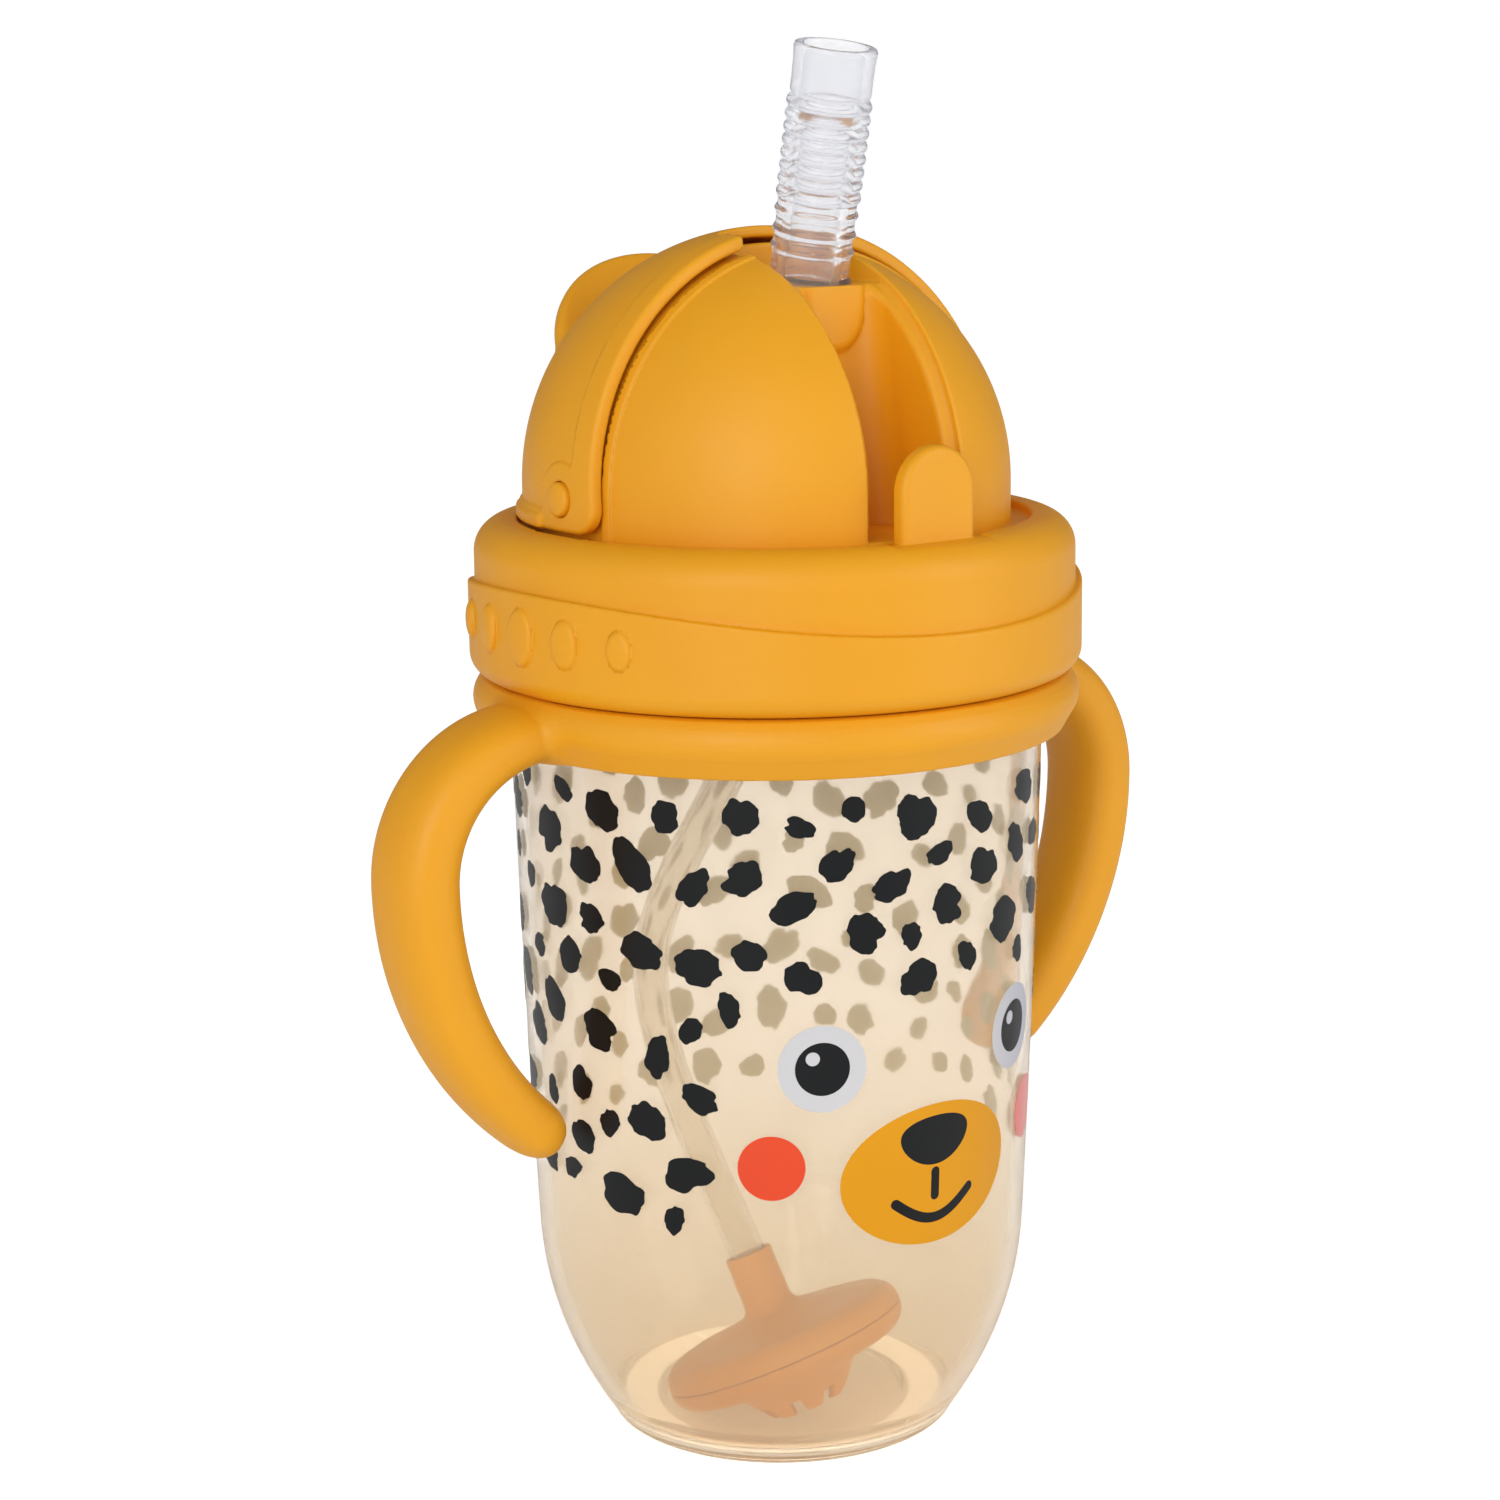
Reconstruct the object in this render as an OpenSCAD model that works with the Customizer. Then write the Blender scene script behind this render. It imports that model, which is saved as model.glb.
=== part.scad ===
// Toddler sippy cup with a weighted straw: a tapered bottle, a ring with two
// handles, a screw lid with a domed top, and a visor-like cover that swings
// over the straw. Millimetres. Origin at the centre of the base, +Z up, the
// front of the cup towards -Y, the handles along X.

/* [Bottle] */
// Radius of the bottle where its side starts, 30 mm above the base
bottle_r = 33.15; // [32.8:0.05:33.4]
// Thickness of the bottle's wall
bottle_wall = 1.6; // [1.2:0.1:2]
// Thickness of the bottle's floor
bottle_floor = 1.5; // [1.2:0.1:1.8]
// Height of the neck's rim above the base
neck_top = 118.2; // [116:0.1:118.2]

/* [Thread] */
// Rise of the four-start thread in one full turn
thread_lead = 16; // [16:0.5:18]
// Angle that each of the four thread ridges runs round the neck
thread_arc = 66; // [36:6:72]

/* [Handles] */
// Greatest distance of a handle's centre line from the cup's axis
handle_reach = 55.65; // [54.5:0.05:57]
// Width of a handle's grip, along Y
handle_w = 13; // [11:0.5:14]
// Thickness of a handle's grip
handle_t = 9.2; // [8:0.2:9.6]

/* [Lid] */
// Radius of the lid's dome
dome_r = 31.1; // [30.9:0.05:31.15]
// Height of the dome's centre, where the cover pivots
pivot_h = 127.8; // [127.8:0.1:128.2]
// Radius of the raised lower band of the collar
band_r = 40.5; // [40.2:0.1:40.8]
// Half width of the straw channel in the dome
channel_x = 7.4; // [7.2:0.1:7.6]
// Turn of the raised band's wave and grip bumps from the handles
band_turn = 2.4; // [-5:0.1:5]

/* [Cover] */
// Inner radius of the swinging cover
cover_in_r = 31.6; // [31.55:0.05:31.65]
// Outer radius of the swinging cover
cover_out_r = 33.1; // [33:0.05:33.2]
// Half width of the notch in the cover's front edge
notch_x = 7.8; // [7:0.1:8]

/* [Straw] */
// Outer radius of the mouthpiece
mouth_r = 5.15; // [4.9:0.05:5.3]
// Length of the mouthpiece above the lid
mouth_len = 30.6; // [29:0.1:32]
// Forward lean of the mouthpiece
mouth_lean = 12; // [11:0.5:13]
// Outer radius of the soft inner tube
tube_r = 2.4; // [2.3:0.05:2.6]

/* [Weight] */
// Radius of the weight's disc
weight_r = 16.6; // [15.5:0.1:16.8]
// Tilt of the weight where it lies on the bottle's floor
weight_tilt = 25; // [22:0.5:26]

/* [Hidden] */

$fn = 96;
body_top = 99;            // the shoulder that carries the handle ring
neck_r = 34;              // neck, outside
neck_in = 32.2;           // neck, inside
collar_z = 103.2;         // underside of the lid's collar
collar_in = 36.2;         // collar, inside
collar_r = 39.6;          // collar above the raised band
collar_top = 123.4;
plate_z = 119.6;          // underside of the lid's plate
moat_z = 122.2;           // floor of the groove between collar and dome
moat_r = 33.75;           // outer wall of that groove
dome_step = 0.3;          // drop of the dome's surface under the cover
channel_floor = 123.2;    // floor of the straw channel
cover_z = 123.6;          // lower edge of the cover
panel_step = 0.3;         // depth of the cover's sunk panel
seat = [0, -7.8, 153.6];  // where the mouthpiece leaves the lid
vent_tilt = -27;          // tilt of the vent valve's axis, towards the back
weight_centre = [-6.2, -9.1, 12.05];
weight_turn = 115;        // direction in which the weight's axis leans, from +X
yellow = [0.93, 0.65, 0.16];
silicone = [0.93, 0.93, 0.92, 0.55];

// ---- shared shapes ----

// Points of an arc in the plane, between two angles
function arc(cx, cy, radius, from, to, steps = 8) = [for (i = [0:steps])
    let (angle = from + (to - from) * i / steps)
    [cx + radius * cos(angle), cy + radius * sin(angle)]];

// Its children on the +X side and mirrored on the -X side
module both_sides() {
    children();
    mirror([1, 0, 0]) children();
}

// A box centred across X, with its front lower edge at y and z
module wide_box(half, y, z, depth, height) {
    translate([-half, y, z]) cube([2 * half, depth, height]);
}

// A cylinder on the pivot axis, starting at x = from on the +X side
module pivot_cylinder(radius, from, length) {
    translate([from, 0, pivot_h]) rotate([0, 90, 0]) cylinder(r = radius, h = length);
}

// Four thread ridges of rectangular section: each is part of a ring, tipped to climb at the lead
module thread(r_in, r_out, z, height = 1.5) {
    climb = asin(thread_lead / (PI * (r_in + r_out)));
    for (i = [0:3])
        rotate([0, 0, 90 * i]) translate([0, 0, z + thread_lead * thread_arc / 720])
            rotate([climb, 0, 0]) rotate([0, 0, -thread_arc / 2])
                rotate_extrude(angle = thread_arc, $fn = 96)
                    translate([r_in, 0]) square([r_out - r_in, height]);
}

// Carries its children to the mouthpiece's own axis
module on_straw_axis() {
    translate(seat) rotate([mouth_lean, 0, 0]) children();
}

// Carries its children to the vent's axis, which starts at the dome's centre
module on_vent_axis() {
    translate([0, 0, pivot_h]) rotate([vent_tilt, 0, 0]) children();
}

// Carries its children to the axis of the weight
module on_weight_axis() {
    translate(weight_centre) rotate([0, weight_tilt, weight_turn]) children();
}

// Half a ball about the pivot height, with a straight skirt below it down to z = bottom
module domed(radius, bottom) {
    translate([0, 0, pivot_h]) rotate_extrude() union() {
        intersection() {
            circle(radius);
            square([radius, radius]);
        }
        translate([0, bottom - pivot_h]) square([radius, pivot_h - bottom]);
    }
}

// ---- bottle ----

// Outer radius of the bottle's side at height h
function side_r(h) = bottle_r + 0.045 * (h - 30) - 0.00018 * pow(h - 30, 2)
    - (h < 28 ? 0.00688 * pow(28 - h, 2.14) : 0);

// Inner radius at height h, with the wall's thickness taken square to the side
function inside_r(h) =
    side_r(h) - bottle_wall * sqrt(1 + pow(side_r(h + 0.5) - side_r(h - 0.5), 2));

// Half section of the bottle: [radius, height]
module bottle_outline() {
    foot_r = 1.25;
    inner_foot_r = 3;
    base_recess = 0.5;
    floor_z = bottle_floor + base_recess;
    outer = concat(
        [[0, base_recess], [16.2, base_recess], [16.8, 0]],
        arc(side_r(1.2) - 1.35, foot_r, foot_r, -90, -12, 6),
        [for (h = [2:1.5:27.5]) [side_r(h), h]],
        [for (h = [30:5:95]) [side_r(h), h]],
        [[side_r(98.4), 98.4], [side_r(98.4) - 0.5, body_top], [neck_r, body_top],
         [neck_r, neck_top - 0.6], [neck_r - 0.6, neck_top]]);
    inner = concat(
        [[neck_in + 0.5, neck_top], [neck_in, neck_top - 0.5], [neck_in, 101],
         [inside_r(96), 97]],
        [for (h = [90:-5:30]) [inside_r(h), h]],
        [for (h = [27.5:-1.5:5]) [inside_r(h), h]],
        arc(inside_r(5) - inner_foot_r, floor_z + inner_foot_r, inner_foot_r, 0, -90, 5),
        [[0, floor_z]]);
    polygon(concat(outer, inner));
}

module bottle() {
    color([0.95, 0.86, 0.72, 0.45]) union() {
        rotate_extrude($fn = 128) bottle_outline();
        thread(neck_r - 0.3, 35.7, 108.2);
    }
}

// ---- handle ring ----

// A handle's centre line: a short lead out of the ring, a quarter turn down,
// then a long sweep in towards the bottle
lead_len = 1.5;
bend_r = 17.4;
bend_h = 81.4;      // height of the centres of both arcs
sweep_r = 45.4;
sweep_angle = 55;
bend_end = lead_len + bend_r * PI / 2;
path_len = bend_end + sweep_r * sweep_angle * PI / 180;
tip_len = 5.2;      // rounded free end

// A point of an arc of the centre line, and its outward direction
function bend_point(radius, angle) = let (outward = [cos(angle), sin(angle)])
    [[handle_reach - radius, bend_h] + radius * outward, outward];

// Point and outward direction of the centre line in the XZ plane, at distance s from its start
function grip_at(s) =
    s < lead_len ? [[handle_reach - bend_r - lead_len + s, bend_h + bend_r], [0, 1]]
    : s < bend_end ? bend_point(bend_r, 90 - (s - lead_len) / bend_r * 180 / PI)
    : bend_point(sweep_r, -(s - bend_end) / sweep_r * 180 / PI);

// Factors of the grip's thickness and width at the fraction u of its length:
// it thins towards its free end
function swell_t(u) =
    0.76 + 0.24 * sin(90 * min(1, u / 0.42)) - 0.2 * pow(max(0, u - 0.5) / 0.5, 1.5);
function swell_w(u) =
    1.08 - 0.08 * sin(90 * min(1, u / 0.3)) - 0.16 * pow(max(0, u - 0.45) / 0.55, 1.4);

// Cosine or sine bent towards a squarer oval
function squarish(value) = sign(value) * pow(abs(value), 0.8);

// One handle on the +X side, swept as rings of points
module handle(rings = 38, sides = 24) {
    points = [for (i = [0:rings])
        let (
            s = path_len * sin(90 * i / rings) * 0.9995,
            u = s / path_len,
            grip = grip_at(s),
            into_tip = max(0, s - path_len + tip_len) / tip_len,
            taper = sqrt(1 - pow(into_tip, 2)),
            half_t = handle_t * swell_t(u) * taper / 2,
            half_w = handle_w * swell_w(u) * taper / 2)
        for (j = [0:sides - 1])
            let (
                angle = 360 * j / sides,
                out = half_t * squarish(cos(angle)),
                y = half_w * squarish(sin(angle)))
            [grip[0][0] + out * grip[1][0], y, grip[0][1] + out * grip[1][1]]];
    function id(i, j) = i * sides + j % sides;
    faces = concat(
        [for (i = [0:rings - 1]) for (j = [0:sides - 1])
            [id(i, j), id(i, j + 1), id(i + 1, j + 1), id(i + 1, j)]],
        [[for (j = [sides - 1:-1:0]) j]],
        [[for (j = [0:sides - 1]) id(rings, j)]]);
    polyhedron(points = points, faces = faces, convexity = 6);
}

module handle_ring() {
    // Half section of the ring: [radius, height]
    ring = concat(
        [[35.75, 95.4], [38.4, 95.4]],
        arc(36.6, 99.9, 3.6, -38, 42, 8),
        [[39.0, 102.75], [38.2, 103.05], [34.25, 103.05], [34.25, 99.2], [35.75, 99.2]]);
    color(yellow) union() {
        rotate_extrude($fn = 128) polygon(ring);
        both_sides() handle();
    }
}

// ---- lid body ----

// The collar, with the lid's plate inside it
module collar() {
    top_round = 4.2;
    rotate_extrude($fn = 160) polygon(concat(
        [[collar_in, collar_z], [39.1, collar_z], [collar_r, collar_z + 0.6]],
        arc(collar_r - top_round, collar_top - top_round, top_round, 0, 90, 10),
        [[34.2, collar_top], [moat_r, collar_top - 0.35], [moat_r, moat_z],
         [dome_r - 2, moat_z], [dome_r - 2, plate_z], [collar_in, plate_z]]));
}

// The raised band: its wavy upper edge is where the collar meets a wide cylinder lying along Y
module raised_band() {
    wave_r = 192.9;
    wave_low = 112.6;
    edge_r = 2.8;
    difference() {
        rotate_extrude($fn = 160) polygon(concat(
            [[collar_r - 1, collar_z + 0.2], [39.4, collar_z + 0.2]],
            arc(band_r - edge_r, collar_z + 3, edge_r, -62, 0, 6),
            [[band_r, 120], [collar_r - 1, 120]]));
        rotate([0, 0, band_turn]) translate([0, 60, wave_low + wave_r]) rotate([90, 0, 0])
            cylinder(r = wave_r, h = 120, $fn = 360);
    }
}

// Five raised oval grip bumps on each side, shrinking away from the middle
module grip_bumps() {
    bump_r = 3.5;
    bump_h = 8.8;
    bulge_r = 8.54;
    bump_pitch = 11.8;
    difference() {
        for (side = [0, 180], i = [-2:2]) {
            size = 1 - 0.16 * abs(i);
            rotate([0, 0, side + band_turn + bump_pitch * i])
                translate([band_r - 2.8 * size, 0, 111.2]) scale(size)
                    rotate_extrude($fn = 40) intersection() {
                        translate([bump_r - bulge_r, 0]) circle(bulge_r);
                        translate([0, -bump_h / 2]) square([bump_r, bump_h]);
                    }
        }
        translate([0, 0, 100]) cylinder(r = 38, h = 20);
    }
}

// A straw channel, open to the front, with rounded inner corners: its plan is
// extruded along an axis tilted about X, from a depth below z = 150
module tilted_channel(half, y, tilt, below, length) {
    corner_r = 3.6;
    translate([0, y, 150]) rotate([tilt, 0, 0]) translate([0, -corner_r, -below])
        linear_extrude(length) union() {
            for (side = [-1, 1])
                translate([side * (half - corner_r), 0]) circle(corner_r, $fn = 48);
            translate([-half + corner_r, -corner_r])
                square([2 * half - 2 * corner_r, 2 * corner_r]);
            translate([-half, -30]) square([2 * half, 30]);
        }
}

// Solid block that the channel is cut from
module channel_block() {
    block_x = channel_x + 1.5;
    intersection() {
        union() {
            intersection() {
                tilted_channel(half = 7.6, y = -6.6, tilt = 9.6, below = 40, length = 60);
                wide_box(12, -40, plate_z, 40, 32);
            }
            wide_box(block_x, -32, 148, 34, 20);
            wide_box(block_x, -32, plate_z, 20, 32);
        }
        domed(dome_r - dome_step, plate_z);
    }
}

// The knob that carries the mouthpiece: a round-bottomed post with a flat front
module straw_knob() {
    knob_r = 7.4;
    knob_z = 150;
    intersection() {
        translate([0, seat.y, knob_z]) union() {
            sphere(r = knob_r);
            cylinder(r = knob_r, h = seat.z - knob_z);
        }
        wide_box(10, -14, 130, 30, 40);
    }
}

// An upright tab with a round top, on the front of the dome
module front_tab() {
    tab_r = 5.7;
    tab_t = 2.3;
    round_z = 135.1 - tab_r;
    translate([0, -32.5, 0]) rotate([90, 0, 0]) union() {
        translate([0, round_z, 0]) cylinder(r = tab_r, h = tab_t, $fn = 64);
        translate([-tab_r, moat_z - 1, 0]) cube([2 * tab_r, round_z - moat_z + 1, tab_t]);
    }
}

// Bosses inside the dome that hold the pivot pins
module pin_bosses() {
    both_sides() intersection() {
        pivot_cylinder(4.4, 0, dome_r);
        translate([25, -10, 110]) cube([10, 20, 30]);
        domed(dome_r - 0.2, plate_z);
    }
}

module lid_solid() {
    collar();
    raised_band();
    grip_bumps();
    difference() {
        domed(dome_r, plate_z);
        domed(dome_r - 1.7, plate_z - 1);
    }
    channel_block();
    pin_bosses();
    front_tab();
}

module channel_cuts() {
    // narrow part
    difference() {
        tilted_channel(half = 6, y = -12.2, tilt = -9.1, below = 36, length = 70);
        wide_box(20, -60, 100, 80, channel_floor - 100);
        straw_knob();
        front_tab();
    }
    // wide, stepped mouth
    difference() {
        intersection() {
            wide_box(channel_x, -40, channel_floor, 28, 50);
            translate([0, 0, pivot_h]) rotate([0, 90, 0]) difference() {
                cylinder(r = 40, h = 30, center = true);
                cylinder(r = 28.9, h = 31, center = true);
            }
        }
        front_tab();
        straw_knob();
    }
    // shelf round the mouthpiece
    wide_box(channel_x, -14.5, seat.z, 15, 20);
    // hollow under the straw, open to the bottle
    wide_box(channel_x - 1.6, -10.4, 118, 11, 24);
}

// Stepped hole that the mouthpiece is pulled through, and the space under it
module mouthpiece_hole() {
    // [start along the straw axis, length, radius]
    steps = [[-20, 17.6, 5.2], [-9.6, 7.2, 5.9], [0.12, 5, 5.56], [-5, 12, 4.7]];
    on_straw_axis() for (step = steps)
        translate([0, 0, step[0]]) cylinder(r = step[2], h = step[1]);
}

module cover_clearance() {
    corner_r = 7.1;
    // the dome is a little lower behind the cover's front edge
    difference() {
        wide_box(40, -5.6, moat_z, 60, 60);
        domed(dome_r - dome_step, moat_z - 1);
        difference() {
            cylinder(r = 60, h = 123.5);
            cylinder(r = moat_r, h = 130);
        }
    }
    // room for the cover's lower front corners as it swings
    both_sides() {
        pivot_cylinder(corner_r, dome_r - 0.1, 3);
        intersection() {
            pivot_cylinder(corner_r, 30.3, 3.7);
            wide_box(40, -10, 110, 20, moat_z - 110);
        }
        translate([30.2, -6.4, moat_z - 0.6]) cube([2.9, 4, 1]);
    }
}

module vent_hole() {
    on_vent_axis() {
        translate([0, 0, 25]) cylinder(r = 1.5, h = 10, $fn = 48);
        translate([0, 0, 30.1]) cylinder(r = 2.5, h = 10, $fn = 48);
    }
}

module lid_body() {
    color(yellow) difference() {
        union() lid_solid();
        channel_cuts();
        mouthpiece_hole();
        cover_clearance();
        both_sides() pivot_cylinder(2, 26.5, 10, $fn = 48);
        vent_hole();
    }
    color(yellow) thread(34.4, collar_in + 0.3, 106);
}

// ---- swinging cover ----

// Extrudes a side view, drawn as [y, z], to both sides of the middle
module along_x(half) {
    rotate([90, 0, 90]) translate([0, 0, -half]) linear_extrude(2 * half) children();
}

// Side view of the cover, from its front edge back
module cover_side() {
    corner_r = 3.5;
    polygon(concat(
        [[-4.55, 165], [-6.5, pivot_h + 1]],
        arc(-3.0, 127.1, corner_r, 180, 270, 8),
        [[40, cover_z], [40, 165]]));
}

// Side view of the sunk panel, which leaves a round land about the pivot
module cover_panel_side() {
    difference() {
        polygon([[-1.2, 165], [-2.6, pivot_h], [-2.6, 126], [40, 126], [40, 165]]);
        translate([0, pivot_h]) circle(4.4, $fn = 48);
    }
}

// The disc that the thumb tab is part of
module thumb_disc() {
    thickness = 3;
    translate([0, 16.5, 140.8]) rotate([-45, 0, 0]) rotate([90, 0, 0])
        translate([0, 0, -thickness / 2]) cylinder(r = 21, h = thickness, $fn = 96);
}

module cover_solid() {
    intersection() {
        domed(cover_out_r + panel_step, cover_z);
        along_x(40) cover_side();
    }
    // lip round the lower back edge
    intersection() {
        translate([0, 0, cover_z]) cylinder(r = 34.5, h = 1.9, $fn = 128);
        wide_box(40, 4.5, 120, 40, 10);
    }
    // thumb tab
    intersection() {
        thumb_disc();
        difference() {
            translate([0, 0, pivot_h]) sphere(r = 60);
            domed(32, 100);
        }
        wide_box(40, 12, 135, 60, 60);
    }
}

// Notch in the front edge, with rounded back corners
module cover_notch() {
    corner_r = 2.2;
    corner_x = notch_x - corner_r;
    translate([0, 0, 145]) linear_extrude(30) union() {
        translate([-notch_x, -20]) square([2 * notch_x, 20]);
        translate([-corner_x, -1]) square([2 * corner_x, corner_r + 1]);
        for (side = [-1, 1]) translate([side * corner_x, 0]) circle(corner_r, $fn = 32);
    }
}

module sliding_cover() {
    color(yellow) difference() {
        union() cover_solid();
        domed(cover_in_r, 120);
        // the sunk panel
        difference() {
            along_x(40) cover_panel_side();
            domed(cover_out_r, 126);
            thumb_disc();
        }
        cover_notch();
        both_sides() pivot_cylinder(2.25, 30, 10, $fn = 48);
    }
}

// ---- pivot pins ----

// A headed pin on the -X side (side = -1) or the +X side (side = 1)
module pivot_pin(side) {
    // half section: [radius, distance from the cup's axis]
    section = [[0, 27], [1.98, 27], [1.98, 31.0], [2.19, 31.05], [2.19, 33.3],
        [1.8, 33.75], [0, 33.9]];
    color(yellow) translate([0, 0, pivot_h]) rotate([0, 90 * side, 0])
        rotate_extrude($fn = 48) polygon(section);
}

module pivot_pin_left() {
    pivot_pin(-1);
}

module pivot_pin_right() {
    pivot_pin(1);
}

// ---- seals, straw and its fittings ----
// Half sections are [radius, distance along the axis]

module lid_gasket() {
    color([0.95, 0.95, 0.93, 0.8]) translate([0, 0, neck_top + 0.05])
        rotate_extrude($fn = 128) polygon([
            [32.0, 0], [35.2, 0], [35.2, 1.3], [31.0, 1.3], [31.0, 0.6], [32.0, 0.6]]);
}

// A collar below the lid's shelf, three rings, a bellows of eight ribs and a plain tip
module straw_mouthpiece() {
    groove_r = mouth_r - 0.1;
    ring_r = mouth_r + 0.3;
    flange_r = mouth_r + 0.35;
    rib_pitch = 1.65;
    collar_part = [
        [5.0, -9.2], [5.65, -6.5], [5.65, -2.6], [4.55, -2.5], [4.55, 0.15],
        [flange_r, 0.2], [flange_r, 1.2], [groove_r, 1.7]];
    ring_part = [for (z = [3.7, 6.8, 9.5])
        for (p = [[groove_r, -0.7], [ring_r, -0.25], [ring_r, 0.25], [groove_r, 0.7]])
            [p[0], z + p[1]]];
    // each rib is [radius, fraction of the pitch]
    rib = [[mouth_r - 0.3, 0.05], [ring_r, 0.35], [ring_r, 0.65], [mouth_r - 0.3, 0.95]];
    bellows = [for (i = [0:7]) for (p = rib) [p[0], 10.7 + rib_pitch * (i + p[1])]];
    tip = [
        [mouth_r, 24.2], [mouth_r, 28], [mouth_r + 0.15, mouth_len - 0.5],
        [mouth_r - 0.1, mouth_len]];
    bore = [
        [mouth_r - 1.1, mouth_len], [mouth_r - 1.25, mouth_len - 0.4],
        [mouth_r - 1.3, mouth_len - 8.6], [3.2, mouth_len - 9.6], [3.1, 2], [3.1, -9.2]];
    color(silicone) on_straw_axis() rotate_extrude($fn = 64)
        polygon(concat(collar_part, ring_part, bellows, tip, bore));
}

// Hollow plug that joins the mouthpiece to the inner tube
module straw_connector() {
    color([0.94, 0.93, 0.9]) on_straw_axis() rotate_extrude($fn = 48) polygon([
        [0.9, -14.5], [1.25, -14.5], [1.4, -13.8], [1.4, -10.9], [4.6, -10.9],
        [4.6, -9.4], [3.05, -9.3], [3.05, -6.4], [2.7, -5.4], [1.9, -5.4],
        [1.9, -10], [0.9, -11]]);
}

// Point at u, from 0 to 1, on a cubic curve between two points with given end directions
function hermite(start, start_dir, end, end_dir, u) =
    let (u2 = u * u, u3 = u2 * u)
    (2 * u3 - 3 * u2 + 1) * start + (u3 - 2 * u2 + u) * start_dir
    + (3 * u2 - 2 * u3) * end + (u3 - u2) * end_dir;

// Sideways and forward offsets in the turned frame that the tube bows in, made into a point
bow_turn = -36;
function bowed(sideways, forward, z) = [
    sideways * cos(bow_turn) + forward * sin(bow_turn),
    sideways * sin(bow_turn) - forward * cos(bow_turn),
    z];

// The tube's centre line runs through four knots, joined by cubic curves
weight_axis = [
    sin(weight_tilt) * cos(weight_turn), sin(weight_tilt) * sin(weight_turn), cos(weight_tilt)];
straw_axis = [0, -sin(mouth_lean), cos(mouth_lean)];
tube_top = seat - 11.0 * straw_axis;
tube_neck = bowed(-3, 3, 98);
tube_belly = bowed(-17.4, 0, 61);
tube_end = weight_centre + 10.6 * weight_axis;
belly_dir = bowed(0, 1.5, -37);
function tube_line(t) =
    t < 1 ? hermite(tube_top, -44 * straw_axis, tube_neck, bowed(-9.2, -4, -40), t)
    : t < 2 ? hermite(tube_neck, bowed(-9.2, -4, -37), tube_belly, belly_dir, t - 1)
    : hermite(tube_belly, belly_dir, tube_end, -36 * weight_axis, t - 2);

// A closed mesh: an outer and an inner sleeve swept along the tube's centre line
module swept_tube(r_in, r_out, rings, sides) {
    step = 0.01;
    // each frame is a point and two directions square to the line
    frames = [for (i = [0:rings])
        let (
            t = 3 * i / rings,
            ahead = tube_line(min(3, t + step)) - tube_line(max(0, t - step)),
            along = ahead / norm(ahead),
            across = cross(along, [0, 1, 0]),
            u = across / norm(across))
        [tube_line(t), u, cross(along, u)]];
    points = [for (radius = [r_out, r_in]) for (frame = frames) for (j = [0:sides - 1])
        let (angle = 360 * j / sides)
        frame[0] + radius * (cos(angle) * frame[1] + sin(angle) * frame[2])];
    // index of a point: layer 0 is the outer sleeve, layer 1 the inner one
    function id(layer, i, j) = (layer * (rings + 1) + i) * sides + j % sides;
    faces = concat(
        [for (i = [0:rings - 1]) for (j = [0:sides - 1])
            [id(0, i, j), id(0, i, j + 1), id(0, i + 1, j + 1), id(0, i + 1, j)]],
        [for (i = [0:rings - 1]) for (j = [0:sides - 1])
            [id(1, i, j), id(1, i + 1, j), id(1, i + 1, j + 1), id(1, i, j + 1)]],
        [for (j = [0:sides - 1])
            [id(0, 0, j), id(1, 0, j), id(1, 0, j + 1), id(0, 0, j + 1)]],
        [for (j = [0:sides - 1])
            [id(0, rings, j), id(0, rings, j + 1), id(1, rings, j + 1), id(1, rings, j)]]);
    polyhedron(points = points, faces = faces, convexity = 6);
}

module inner_tube() {
    color(silicone) swept_tube(r_in = 1.65, r_out = tube_r, rings = 42, sides = 14);
}

module vent_valve() {
    color([0.93, 0.93, 0.9]) on_vent_axis() rotate_extrude($fn = 40) polygon([
        [0, 28.4], [3.6, 28.4], [3.6, 28.7], [1.4, 29.15], [1.4, 30.2],
        [2.3, 30.2], [2.3, 30.55], [0, 30.65]]);
}

// ---- weight ----

// The shells' rounded edges: arcs about one centre, mirrored for the lower shell
edge_x = weight_r - 2.7;
edge_z = 0.4;
edge_out = 2.6;
edge_in = 1.2;
rim_out = weight_r - 0.1;
rim_in = weight_r - 1.5;

// A stem for the tube and a rounded lid
module weight_upper_shell() {
    color(yellow) on_weight_axis() rotate_extrude($fn = 96) polygon(concat(
        [[2.6, 13.2], [3.15, 13.2], [3.3, 12.8], [3.3, 5.4], [4.2, 4.3], [9, 3.55]],
        arc(edge_x, edge_z, edge_out, 74, 2, 7),
        [[rim_out, 0.05], [rim_in, 0.05]],
        arc(edge_x, edge_z, edge_in, 0, 80, 5),
        [[8.5, 2.05], [2.0, 2.05], [2.0, 7.8], [2.6, 7.8]]));
}

// A shallow tray with a castellated, cone-shaped foot
module weight_lower_shell() {
    color([0.9, 0.6, 0.14]) on_weight_axis() difference() {
        rotate_extrude($fn = 96) polygon(concat(
            [[rim_in, -0.05], [rim_out, -0.05]],
            arc(edge_x, -edge_z, edge_out, -2, -72, 7),
            [[9.4, -3.35], [5.1, -8.4], [3.7, -8.4], [7.0, -4.2], [6.6, -3.4],
             [2.0, -3.4], [2.0, -2.05], [8.5, -2.05]],
            arc(edge_x, -edge_z, edge_in, -80, 0, 5)));
        // notches that let the drink in when the foot sits on the floor
        for (i = [0:3]) rotate([0, 0, 45 * i + 20])
            translate([-8, -0.8, -9]) cube([16, 1.6, 2.5]);
    }
}

// Steel ring inside the weight
module weight_ballast() {
    color("silver") on_weight_axis() translate([0, 0, -1.5]) rotate_extrude($fn = 72)
        polygon([[5, 0], [13.0, 0], [13.8, 0.8], [13.8, 2.2], [13.0, 3.0], [5, 3.0]]);
}

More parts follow.
